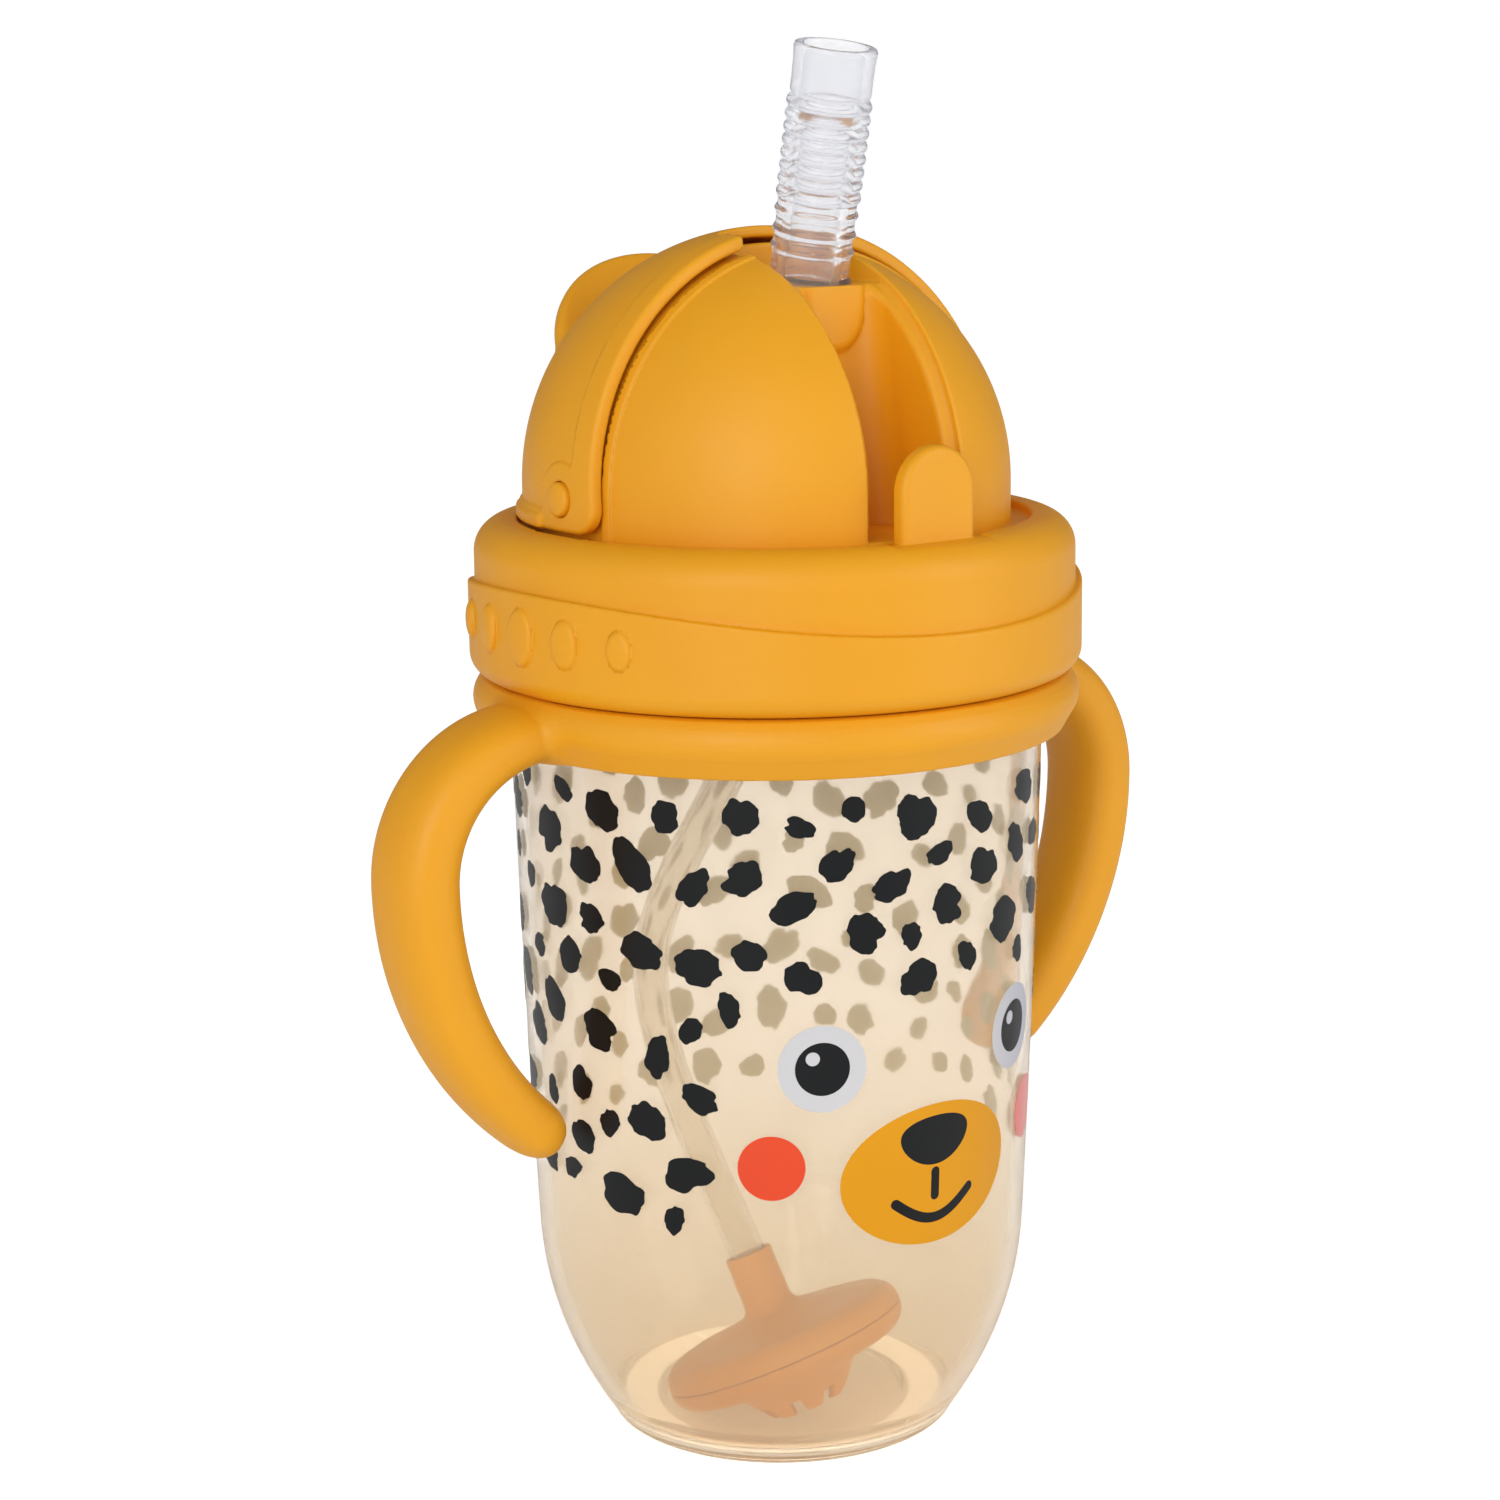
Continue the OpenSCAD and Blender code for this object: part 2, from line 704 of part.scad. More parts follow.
bottle();
handle_ring();
lid_body();
sliding_cover();
pivot_pin_left();
pivot_pin_right();
lid_gasket();
straw_mouthpiece();
straw_connector();
inner_tube();
vent_valve();
weight_upper_shell();
weight_lower_shell();
weight_ballast();
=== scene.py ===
# A toddler's sippy cup: a hazy amber bottle with a printed face, a yellow lid with a turning
# cover, two handles on a ring, a soft straw and an inner tube that ends in a weight.
# It stands on z = 0 with its axis on Z. The face looks along -Y and the handles reach out
# along X. Meshes are worked out in millimetres; materials, lights and camera are in metres.
import bpy
import math
import random
import numpy as np
from math import atan2, cos, pi, radians, sin
from mathutils import Matrix, Vector


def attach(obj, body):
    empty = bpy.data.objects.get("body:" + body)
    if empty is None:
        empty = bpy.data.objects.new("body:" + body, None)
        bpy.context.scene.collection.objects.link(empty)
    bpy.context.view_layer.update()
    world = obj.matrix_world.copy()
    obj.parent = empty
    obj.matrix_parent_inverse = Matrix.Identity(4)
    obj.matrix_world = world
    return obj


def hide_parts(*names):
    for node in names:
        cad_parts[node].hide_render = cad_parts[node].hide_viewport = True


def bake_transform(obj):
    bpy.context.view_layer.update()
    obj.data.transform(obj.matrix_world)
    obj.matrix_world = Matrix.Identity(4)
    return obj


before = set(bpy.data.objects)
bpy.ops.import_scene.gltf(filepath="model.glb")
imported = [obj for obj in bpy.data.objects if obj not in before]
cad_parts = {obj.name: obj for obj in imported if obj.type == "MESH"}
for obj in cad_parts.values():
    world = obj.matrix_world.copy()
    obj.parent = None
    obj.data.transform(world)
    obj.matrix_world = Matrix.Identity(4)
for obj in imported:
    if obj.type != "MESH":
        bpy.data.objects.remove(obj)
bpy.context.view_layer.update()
MM = 0.001

# Places shared by several pieces
PIVOT_Z = 127.8           # axis of the cover, along X; also the centre of the lid's dome
STRAW_Y = -7.8            # where the straw leaves the lid
STRAW_Z = 153.6
STRAW_LEAN = 12           # degrees towards -Y
STRAW_AXIS = np.array([0, -sin(radians(STRAW_LEAN)), cos(radians(STRAW_LEAN))])
VENT_LEAN = 27            # degrees towards +Y

# The four-start thread shared by neck and lid
THREAD_START = 33         # degrees
THREAD_REPEAT = 90        # degrees from one start to the next
THREAD_SPAN = 66          # degrees that each ridge runs
THREAD_PITCH = 16         # rise in a full turn


# ---------------------------------------------------------------- meshes

def new_mesh(name, points, faces, normals=None, sharp_angle=None):
    """A smooth object from points in millimetres and a list of triangle and quad arrays."""
    mesh = bpy.data.meshes.new(name)
    coords = (np.asarray(points, float) * MM).astype(np.float32)
    mesh.vertices.add(len(coords))
    mesh.vertices.foreach_set("co", coords.ravel())
    faces = [np.asarray(group, np.int32) for group in faces]
    loops = np.concatenate([group.ravel() for group in faces])
    sizes = np.concatenate([np.full(len(group), group.shape[1], np.int32) for group in faces])
    starts = np.concatenate([[0], np.cumsum(sizes)[:-1]]).astype(np.int32)
    mesh.loops.add(len(loops))
    mesh.loops.foreach_set("vertex_index", loops)
    mesh.polygons.add(len(sizes))
    mesh.polygons.foreach_set("loop_start", starts)
    mesh.update(calc_edges=True)
    mesh.validate()
    mesh.shade_smooth()
    if normals is not None:
        mesh.normals_split_custom_set_from_vertices(np.asarray(normals, np.float32))
    else:
        mesh.set_sharp_from_angle(angle=radians(sharp_angle))
    made = bpy.data.objects.new(name, mesh)
    bpy.context.scene.collection.objects.link(made)
    return made


def finish_piece(piece, material, body=None, stands_for=()):
    piece.data.materials.append(material)
    if body:
        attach(piece, body)
    if stands_for:
        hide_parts(*stands_for)
    return piece


def arc(centre_r, centre_z, radius, start, end, steps):
    """Points on an arc, from start to end in degrees."""
    angles = [radians(start + (end - start) * i / steps) for i in range(steps + 1)]
    return [(centre_r + radius * cos(a), centre_z + radius * sin(a)) for a in angles]


def rounded(corners, default_radius, steps=5):
    """A closed outline of (r, z) or (r, z, radius) corners, each turned into an arc."""
    outline = []
    for i, corner in enumerate(corners):
        before, here, after = (np.array(corners[j % len(corners)][:2], float)
                               for j in (i - 1, i, i + 1))
        wanted = corner[2] if len(corner) > 2 else default_radius
        back, ahead = before - here, after - here
        back_length, ahead_length = np.linalg.norm(back), np.linalg.norm(ahead)
        back, ahead = back / back_length, ahead / ahead_length
        opening = math.acos(max(-1.0, min(1.0, float(back @ ahead))))
        if here[0] < 1e-6 or wanted <= 0 or opening > radians(172):
            outline.append((here[0], here[1]))
            continue
        tangent = min(wanted / math.tan(opening / 2), 0.48 * back_length, 0.48 * ahead_length)
        radius = tangent * math.tan(opening / 2)
        middle = (back + ahead) / np.linalg.norm(back + ahead)
        centre = here + middle * (radius / sin(opening / 2))
        first, last = here + back * tangent - centre, here + ahead * tangent - centre
        start = atan2(first[1], first[0])
        sweep = (atan2(last[1], last[0]) - start + pi) % (2 * pi) - pi
        for k in range(steps + 1):
            angle = start + sweep * k / steps
            outline.append((centre[0] + radius * cos(angle), centre[1] + radius * sin(angle)))
    return outline


def lathe(name, outline, segments, sharp_angle, placement=None, ridges=None):
    """Turns a closed (r, z) outline about Z and places it.

    ridges(r, z, angles) says how far a ring's points move outwards.
    """
    outline = [np.array(point, float) for point in outline]
    following = outline[1:] + outline[:1]
    area = sum(here[0] * ahead[1] - ahead[0] * here[1]
               for here, ahead in zip(outline, following))
    if area < 0:
        outline = outline[::-1]
    angles = np.arange(segments) * 2 * pi / segments
    points, rings = [], []
    base = 0
    for r, z in outline:
        if r < 1e-6:
            points.append(np.array([[0, 0, z]]))
            rings.append(np.full(segments, base))
            base += 1
            continue
        radius = np.full(segments, r)
        if ridges is not None:
            radius = radius + ridges(r, z, angles)
        ring = [radius * np.cos(angles), radius * np.sin(angles), np.full(segments, z)]
        points.append(np.stack(ring, 1))
        rings.append(base + np.arange(segments))
        base += segments
    quads, triangles = [], []
    for i in range(len(outline)):
        j = (i + 1) % len(outline)
        near, far = rings[i], rings[j]
        near_next, far_next = np.roll(near, -1), np.roll(far, -1)
        near_pole, far_pole = outline[i][0] < 1e-6, outline[j][0] < 1e-6
        if near_pole and far_pole:
            continue
        if near_pole:
            triangles.append(np.stack([near, far_next, far], 1))
        elif far_pole:
            triangles.append(np.stack([near, near_next, far], 1))
        else:
            quads.append(np.stack([near, near_next, far_next, far], 1))
    points = np.concatenate(points)
    if placement is not None:
        points = transform(points, placement)
    faces = [np.concatenate(group) for group in (quads, triangles) if group]
    return new_mesh(name, points, faces, sharp_angle=sharp_angle)


def transform(points, matrix):
    return np.asarray(points) @ matrix[:3, :3].T + matrix[:3, 3]


def turn(axis, angle):
    """A rotation about axis "X", "Y" or "Z", in degrees."""
    i = "XYZ".index(axis)
    j, k = (i + 1) % 3, (i + 2) % 3
    matrix = np.eye(4)
    matrix[j, j] = matrix[k, k] = cos(radians(angle))
    matrix[k, j] = sin(radians(angle))
    matrix[j, k] = -matrix[k, j]
    return matrix


def shift(x, y, z):
    matrix = np.eye(4)
    matrix[:3, 3] = (x, y, z)
    return matrix


# ---------------------------------------------------------------- distance fields
# A field is negative inside a shape. np.minimum joins shapes, np.maximum keeps their overlap.

def round_union(first, second, radius):
    """Union with a fillet."""
    u, v = np.maximum(radius - first, 0), np.maximum(radius - second, 0)
    return np.maximum(radius, np.minimum(first, second)) - np.sqrt(u * u + v * v)


def round_overlap(first, second, radius):
    """Intersection with its edge rounded."""
    u, v = np.maximum(radius + first, 0), np.maximum(radius + second, 0)
    return np.minimum(-radius, np.maximum(first, second)) + np.sqrt(u * u + v * v)


def round_cut(body, tool, radius):
    return round_overlap(body, -tool, radius)


def smooth_step(x):
    x = np.clip(x, 0, 1)
    return x * x * (3 - 2 * x)


def polygon_distance(u, v, outline):
    """Signed distance to a closed polygon in a plane."""
    nearest = np.full(u.shape, 1e12)
    inside = np.zeros(u.shape, bool)
    for i, (start_u, start_v) in enumerate(outline):
        end_u, end_v = outline[(i + 1) % len(outline)]
        edge_u, edge_v = end_u - start_u, end_v - start_v
        from_u, from_v = u - start_u, v - start_v
        along = (from_u * edge_u + from_v * edge_v) / (edge_u * edge_u + edge_v * edge_v)
        along = np.clip(along, 0, 1)
        gap_u, gap_v = from_u - edge_u * along, from_v - edge_v * along
        np.minimum(nearest, gap_u * gap_u + gap_v * gap_v, out=nearest)
        if start_v != end_v:
            crossed = (start_v > v) != (end_v > v)
            inside ^= crossed & (u < edge_u * (v - start_v) / edge_v + start_u)
    distance = np.sqrt(nearest)
    return np.where(inside, -distance, distance)


# The twelve edges of a unit cell, as pairs of corners
CELL_EDGES = [
    ((0, 0, 0), (1, 0, 0)), ((0, 1, 0), (1, 1, 0)), ((0, 0, 1), (1, 0, 1)), ((0, 1, 1), (1, 1, 1)),
    ((0, 0, 0), (0, 1, 0)), ((1, 0, 0), (1, 1, 0)), ((0, 0, 1), (0, 1, 1)), ((1, 0, 1), (1, 1, 1)),
    ((0, 0, 0), (0, 0, 1)), ((1, 0, 0), (1, 0, 1)), ((0, 1, 0), (0, 1, 1)), ((1, 1, 0), (1, 1, 1))]
SLAB = 12                 # layers sampled at a time, to spare memory
PULL_STEP = 0.02          # gradient step while points are pulled to the surface
NORMAL_STEP = 0.06        # gradient step for the shading normals


def gradient(field, points, step):
    slope = np.empty_like(points)
    for i in range(3):
        offset = np.zeros(3)
        offset[i] = step
        slope[:, i] = (field(*(points + offset).T) - field(*(points - offset).T)) / (2 * step)
    return slope


def pull_to_surface(field, points, cell):
    """Moves points onto the zero surface, each staying within 0.9 of a cell of its start."""
    start = points.copy()
    for _ in range(3):
        slope = gradient(field, points, PULL_STEP)
        steepness = np.maximum((slope * slope).sum(1), 1e-3)
        step = slope * (field(*points.T) / steepness)[:, None]
        size = np.linalg.norm(step, axis=1)
        step *= np.minimum(1, 0.4 * cell / np.maximum(size, 1e-9))[:, None]
        away = points - step - start
        size = np.linalg.norm(away, axis=1)
        points = start + away * np.minimum(1, 0.9 * cell / np.maximum(size, 1e-9))[:, None]
    return points


def surface(name, field, low, high, cell):
    """The zero surface of a field as quads between the points of neighbouring cells."""
    low = np.array(low, float)
    counts = [int(math.ceil((high[i] - low[i]) / cell)) + 1 for i in range(3)]
    axes = [low[i] + cell * np.arange(counts[i]) for i in range(3)]
    values = np.empty(counts, np.float32)
    for k in range(0, counts[2], SLAB):
        grid = np.meshgrid(axes[0], axes[1], axes[2][k:k + SLAB], indexing="ij")
        values[:, :, k:k + SLAB] = field(*grid)
    values[values == 0] = 1e-6
    inside = values < 0

    # one point in each cell the surface crosses: the mean of its edge crossings
    corners_in = np.zeros([count - 1 for count in counts], np.uint8)
    for i in (0, 1):
        for j in (0, 1):
            for k in (0, 1):
                corners_in += inside[i:counts[0] - 1 + i, j:counts[1] - 1 + j,
                                     k:counts[2] - 1 + k]
    active = (corners_in > 0) & (corners_in < 8)
    cells = np.stack(np.nonzero(active), 1)
    index = np.full(active.shape, -1, np.int64)
    index[active] = np.arange(len(cells))
    total = np.zeros((len(cells), 3))
    crossings = np.zeros(len(cells))
    for start, end in CELL_EDGES:
        at_start = values[tuple((cells + start).T)].astype(float)
        at_end = values[tuple((cells + end).T)].astype(float)
        crossed = (at_start < 0) != (at_end < 0)
        part = np.where(crossed, at_start / np.where(crossed, at_start - at_end, 1), 0)
        place = np.array(start, float) + part[:, None] * np.subtract(end, start).astype(float)
        total += np.where(crossed[:, None], place, 0)
        crossings += crossed
    points = low + cell * (cells + total / crossings[:, None])

    # one quad round each grid edge the surface crosses
    quads = []
    for axis in range(3):
        u, v = (axis + 1) % 3, (axis + 2) % 3
        near, far = [slice(None)] * 3, [slice(None)] * 3
        near[axis], far[axis] = slice(0, counts[axis] - 1), slice(1, counts[axis])
        edges = np.nonzero(inside[tuple(near)] != inside[tuple(far)])
        kept = ((edges[u] > 0) & (edges[v] > 0)
                & (edges[u] < counts[u] - 1) & (edges[v] < counts[v] - 1))
        edges = [side[kept] for side in edges]
        around = []
        for step_u, step_v in ((-1, -1), (0, -1), (0, 0), (-1, 0)):
            neighbour = list(edges)
            neighbour[u] = edges[u] + step_u
            neighbour[v] = edges[v] + step_v
            around.append(index[tuple(neighbour)])
        quad = np.stack(around, 1)
        quads.append(np.where(inside[tuple(edges)][:, None], quad, quad[:, ::-1]))

    points = pull_to_surface(field, points, cell)
    slope = gradient(field, points, NORMAL_STEP)
    normals = slope / np.maximum(np.linalg.norm(slope, axis=1), 1e-9)[:, None]
    return new_mesh(name, points, [np.concatenate(quads)], normals=normals)


# ---------------------------------------------------------------- shader nodes

def new_material(name):
    made = bpy.data.materials.new(name)
    made.use_nodes = True
    made.node_tree.nodes.clear()
    return made, made.node_tree


def add(tree, kind, inputs={}, **settings):
    """Adds a node. Each input is given a value, or a socket to be linked from."""
    made = tree.nodes.new(kind)
    for key, value in settings.items():
        setattr(made, key, value)
    for key, value in inputs.items():
        if isinstance(value, bpy.types.NodeSocket):
            tree.links.new(value, made.inputs[key])
        else:
            made.inputs[key].default_value = value
    return made


def noise(tree, coords, scale, detail=3.0, roughness=0.5):
    return add(tree, "ShaderNodeTexNoise", {
        "Vector": coords, "Scale": scale, "Detail": detail,
        "Roughness": roughness}).outputs["Fac"]


def map_range(tree, value, from_min=0.0, from_max=1.0, to_min=0.0, to_max=1.0, kind="LINEAR"):
    return add(tree, "ShaderNodeMapRange", {
        "Value": value, "From Min": from_min, "From Max": from_max,
        "To Min": to_min, "To Max": to_max}, interpolation_type=kind).outputs["Result"]


def vary(tree, value, low, high):
    """Spreads the middle of a noise over low to high."""
    return map_range(tree, value, from_min=0.3, from_max=0.7, to_min=low, to_max=high)


def calc(tree, operation, first, second):
    inputs = {0: first, 1: second}
    return add(tree, "ShaderNodeMath", inputs, operation=operation).outputs[0]


def mix_colour(tree, factor, first, second):
    inputs = {"Factor": factor, "A": first, "B": second}
    return add(tree, "ShaderNodeMix", inputs, data_type="RGBA").outputs["Result"]


def mix_shader(tree, factor, first, second):
    inputs = {"Fac": factor, 1: first, 2: second}
    return add(tree, "ShaderNodeMixShader", inputs).outputs["Shader"]


def bump(tree, height, strength, distance, **normal):
    return add(tree, "ShaderNodeBump", {
        "Height": height, "Strength": strength, "Distance": distance,
        **normal}).outputs["Normal"]


def painted_grazing_tint(tree, colour, edge, start, full=1.0):
    """Painted reflection and shade: turns a colour towards another where the surface is seen
    edge-on.
    """
    facing = add(tree, "ShaderNodeLayerWeight", {"Blend": 0.5}).outputs["Facing"]
    factor = map_range(tree, facing, from_min=start, from_max=0.85, to_max=full)
    return mix_colour(tree, factor, colour, edge)


def painted_haze_tint(tree, colour, under):
    """Painted haze: gives faces that look towards the Z axis a paler colour, standing in for light
    scattered by the hazy bottle wall they are seen through.
    """
    geometry = add(tree, "ShaderNodeNewGeometry")
    outward = add(tree, "ShaderNodeVectorMath", {
        0: geometry.outputs["Position"], 1: (1, 1, 0)}, operation="MULTIPLY")
    dot = add(tree, "ShaderNodeVectorMath", {
        0: outward.outputs["Vector"], 1: geometry.outputs["Normal"]}, operation="DOT_PRODUCT")
    inward = calc(tree, "LESS_THAN", dot.outputs["Value"], 0.0)
    return mix_colour(tree, inward, colour, under)


def srgb(*channels):
    """A linear colour from sRGB channels of 0 to 255."""
    return tuple((c / 255) / 12.92 if c <= 10 else (((c / 255) + 0.055) / 1.055) ** 2.4
                 for c in channels) + (1.0,)


# ---------------------------------------------------------------- materials

def plastic(name, dark, light, roughness, grain=0.05, grain_scale=2600.0, specular=0.5,
            metallic=0.0, subsurface=0.0, depth=(3.0, 1.1, 0.3), under=None, edge=None):
    """Moulded plastic: slow colour drift, fine grain, faint flow marks and uneven gloss.

    depth is how far red, green and blue scatter, in millimetres.
    """
    made, tree = new_material(name)
    coords = add(tree, "ShaderNodeTexCoord").outputs["Object"]
    drift = noise(tree, coords, scale=38.0, detail=2.0)
    colour = mix_colour(tree, vary(tree, drift, 0.0, 1.0), dark, light)
    # painted haze: faces towards the axis take a paler colour, standing in for light scattered by
    # the bottle wall in front
    if under:
        colour = painted_haze_tint(tree, colour, under)
    # painted reflection and shade: the edge colour is laid where the surface is seen edge-on
    if edge:
        colour = painted_grazing_tint(tree, colour, edge, start=0.45, full=0.75)
    gloss = noise(tree, coords, scale=160.0, detail=4.0, roughness=0.6)
    fine = noise(tree, coords, scale=grain_scale, detail=2.0)
    flow = noise(tree, coords, scale=90.0)
    grained = bump(tree, fine, strength=grain, distance=0.0002)
    inputs = {
        "Base Color": colour,
        "Roughness": vary(tree, gloss, *roughness),
        "Normal": bump(tree, flow, strength=0.035, distance=0.0006, Normal=grained),
        "Specular IOR Level": specular,
        "Metallic": metallic}
    if subsurface:
        inputs.update({"Subsurface Weight": subsurface, "Subsurface Radius": depth,
                       "Subsurface Scale": MM})
    shader = add(tree, "ShaderNodeBsdfPrincipled", inputs)
    add(tree, "ShaderNodeOutputMaterial", {"Surface": shader.outputs["BSDF"]})
    return made


def ink(name, dark, light, under, edge=None):
    """Print on the bottle; from the inside it shows a paler colour (under), painted haze standing
    in for light scattered by the bottle wall in front of it.
    """
    return plastic(name, dark, light, roughness=(0.30, 0.42), grain_scale=1800.0,
                   specular=0.25, under=under, edge=edge)


def clear(name, tint, other_tint, roughness, transmission, ior, shadow, waves=0.05,
          wave_scale=220.0, haze=0.0, haze_tint=None, deepen=None, edge=None):
    """Clear or hazy moulding that lets light through to what stands inside.

    shadow is how much of the surface shadow rays pass. deepen changes the colour and the haze
    between two heights in metres.
    """
    made, tree = new_material(name)
    coords = add(tree, "ShaderNodeTexCoord").outputs["Object"]
    drift = noise(tree, coords, scale=30.0)
    colour = mix_colour(tree, vary(tree, drift, 0.0, 1.0), tint, other_tint)
    if deepen:
        height = add(tree, "ShaderNodeSeparateXYZ", {"Vector": coords}).outputs["Z"]
        lowness = map_range(tree, height, from_min=deepen["top"], from_max=deepen["bottom"],
                            kind="SMOOTHSTEP")
        colour = mix_colour(tree, lowness, colour, deepen["colour"])
    # painted reflection and shade: the edge colour is laid where the surface is seen edge-on
    if edge:
        colour = painted_grazing_tint(tree, colour, edge, start=0.25)
    gloss = noise(tree, coords, scale=140.0, detail=4.0)
    ripple = noise(tree, coords, scale=wave_scale)
    shader = add(tree, "ShaderNodeBsdfPrincipled", {
        "Base Color": colour,
        "Roughness": vary(tree, gloss, *roughness),
        "Normal": bump(tree, ripple, strength=waves, distance=0.0004),
        "Transmission Weight": transmission,
        "IOR": ior}).outputs["BSDF"]
    if haze:
        # part of the light is scattered back, part is passed on diffusely
        scattered = add(tree, "ShaderNodeBsdfDiffuse", {"Color": haze_tint})
        passed = add(tree, "ShaderNodeBsdfTranslucent", {"Color": haze_tint})
        cloudy = mix_shader(tree, 0.55, scattered.outputs["BSDF"], passed.outputs["BSDF"])
        cloud = noise(tree, coords, scale=55.0, detail=4.0)
        amount = vary(tree, cloud, haze * 0.9, haze * 1.1)
        if deepen:
            more = map_range(tree, lowness, to_min=1.0, to_max=deepen["haze"])
            amount = calc(tree, "MULTIPLY", amount, more)
        shader = mix_shader(tree, amount, shader, cloudy)
    see_through = add(tree, "ShaderNodeBsdfTransparent", {"Color": colour}).outputs["BSDF"]
    shadow_ray = add(tree, "ShaderNodeLightPath").outputs["Is Shadow Ray"]
    passing = calc(tree, "MULTIPLY", shadow_ray, shadow)
    add(tree, "ShaderNodeOutputMaterial", {
        "Surface": mix_shader(tree, passing, shader, see_through)})
    return made


YELLOW = plastic("yellow_plastic_satin", srgb(233, 160, 18), srgb(237, 165, 22),
                 roughness=(0.42, 0.52), grain=0.06, subsurface=0.10, specular=0.4)
YELLOW_WEIGHT = plastic("yellow_plastic_weight", srgb(218, 142, 8), srgb(224, 149, 14),
                        roughness=(0.34, 0.44), grain=0.04, subsurface=0.10, specular=0.35)
BOTTLE = clear("amber_bottle", srgb(254, 249, 241), srgb(253, 247, 238),
               roughness=(0.03, 0.07), transmission=1.0, ior=1.46, shadow=0.92, waves=0.03,
               haze=0.17, haze_tint=srgb(248, 231, 202),
               deepen=dict(bottom=0.0, top=0.058, colour=srgb(233, 223, 206), haze=1.25))
# the silicone's bluish grey edge colour is painted reflection and shade where it is seen edge-on
SILICONE = clear("clear_silicone", srgb(249, 249, 251), srgb(246, 247, 249),
                 roughness=(0.10, 0.18), transmission=1.0, ior=1.34, shadow=0.85,
                 wave_scale=320.0, haze=0.10, haze_tint=srgb(232, 231, 236),
                 edge=srgb(206, 210, 220))
TUBE = clear("tube_silicone", srgb(252, 249, 243), srgb(249, 246, 240),
             roughness=(0.10, 0.20), transmission=1.0, ior=1.22, shadow=0.9,
             haze=0.14, haze_tint=srgb(247, 240, 228))
SEAL = clear("seal_silicone", srgb(242, 240, 234), srgb(236, 234, 228),
             roughness=(0.35, 0.50), transmission=0.35, ior=1.41, shadow=0.3)
WHITE = plastic("white_plastic", srgb(236, 234, 228), srgb(242, 240, 236),
                roughness=(0.34, 0.44), subsurface=0.05, depth=(1.0, 0.9, 0.8))
STEEL = plastic("steel_ballast_metal", srgb(168, 170, 172), srgb(182, 183, 185),
                roughness=(0.22, 0.38), grain=0.03, metallic=1.0)
# the under colours are painted haze: paler print seen from the inside, standing in for light
# scattered by the bottle wall
BLACK = ink("ink_black", srgb(14, 16, 18), srgb(20, 22, 24), under=srgb(184, 184, 158))
# the white ink's darker bluish edge colour is painted shade where the print is seen edge-on
EYE = ink("ink_white", srgb(204, 203, 205), srgb(210, 209, 211),
          under=srgb(226, 222, 214), edge=srgb(176, 174, 192))
# the coral ink's paler edge colour is painted sheen where the print is seen edge-on
CORAL = ink("ink_coral", srgb(230, 72, 38), srgb(234, 78, 43),
            under=srgb(240, 176, 160), edge=srgb(240, 166, 166))
MUSTARD = ink("ink_mustard", srgb(222, 150, 8), srgb(227, 155, 12), under=srgb(236, 200, 130))


# ---------------------------------------------------------------- bottle

WALL = 1.6
NECK_R = 34.0
NECK_BORE_R = 32.2
SHOULDER_Z = 99.0
BODY_TOP_Z = 98.4
NECK_THREAD_Z = 108.95    # where a ridge starts, at its middle


def side_r(z):
    """Outer radius of the bottle: a slow swell, drawn in below z = 28."""
    tuck = 0.00688 * (28 - z) ** 2.14 if z < 28 else 0
    return 33.15 + 0.045 * (z - 30) - 0.00018 * (z - 30) ** 2 - tuck


def inside_r(z):
    slope = side_r(z + 0.5) - side_r(z - 0.5)
    return side_r(z) - WALL * math.sqrt(1 + slope ** 2)


def bottle_outline():
    """The bottle's section as (r, z), from the base up the outside and down the inside."""
    top_r = side_r(BODY_TOP_Z)
    base = [(0, 0.5), (15.9, 0.5), (16.3, 0.42), (16.7, 0.15), (17.1, 0.02), (17.6, 0.0)]
    base += arc(side_r(1.2) - 1.35, 1.25, 1.25, -90, -12, 10)
    heights = [*np.arange(1.8, 28.0, 0.8), *np.arange(29.0, 98.1, 1.5)]
    wall = [(side_r(z), z) for z in heights]
    shoulder = [
        (top_r, BODY_TOP_Z), (top_r - 0.12, 98.75), (top_r - 0.45, 98.97),
        (top_r - 0.9, SHOULDER_Z), (34.3, SHOULDER_Z), (34.06, 99.08), (NECK_R, 99.35)]
    neck = [(NECK_R, z) for z in np.arange(100.0, 117.4, 0.3)]
    rim = [
        (NECK_R, 117.6), (33.85, 117.95), (33.55, 118.15), (33.2, 118.2),
        (32.8, 118.2), (32.45, 118.1), (32.25, 117.85), (NECK_BORE_R, 117.5)]
    inner = [
        (NECK_BORE_R, 110.0), (NECK_BORE_R, 101.0),
        (inside_r(98.5) * 0.5 + NECK_BORE_R / 2, SHOULDER_Z), (inside_r(97), 97.0)]
    heights = [*np.arange(95.0, 29.0, -2.0), *np.arange(28.0, 5.0, -0.8)]
    inner += [(inside_r(z), z) for z in heights]
    inner += arc(inside_r(5) - 3, 5.0, 3, 0, -90, 10)
    inner += [
        (20.0, 2.0), (16.0, 2.0), (15.2, 2.02), (14.6, 2.12), (14.0, 2.15), (0, 2.15)]
    return base + wall + shoulder + neck + rim + inner


def thread_turn(angles):
    """Degrees along the nearest thread ridge, from angles in radians."""
    return (np.degrees(angles) + THREAD_START) % THREAD_REPEAT


def neck_thread(r, z, angles):
    """Ridges that climb round the neck, as an outward move of its wall."""
    if r < 33.9 or z < 104 or z > 115:
        return 0 * angles
    along = thread_turn(angles)
    middle = NECK_THREAD_Z + THREAD_PITCH * along / 360
    across = np.clip((1.05 - np.abs(z - middle)) / 0.45, 0, 1)
    ends = np.clip(np.minimum(along, THREAD_SPAN - along) / 4.0, 0, 1)
    return 1.7 * smooth_step(across) * smooth_step(ends)


finish_piece(lathe("bottle_shell", bottle_outline(), 256, 50, ridges=neck_thread),
             BOTTLE, "bottle", ["bottle"])


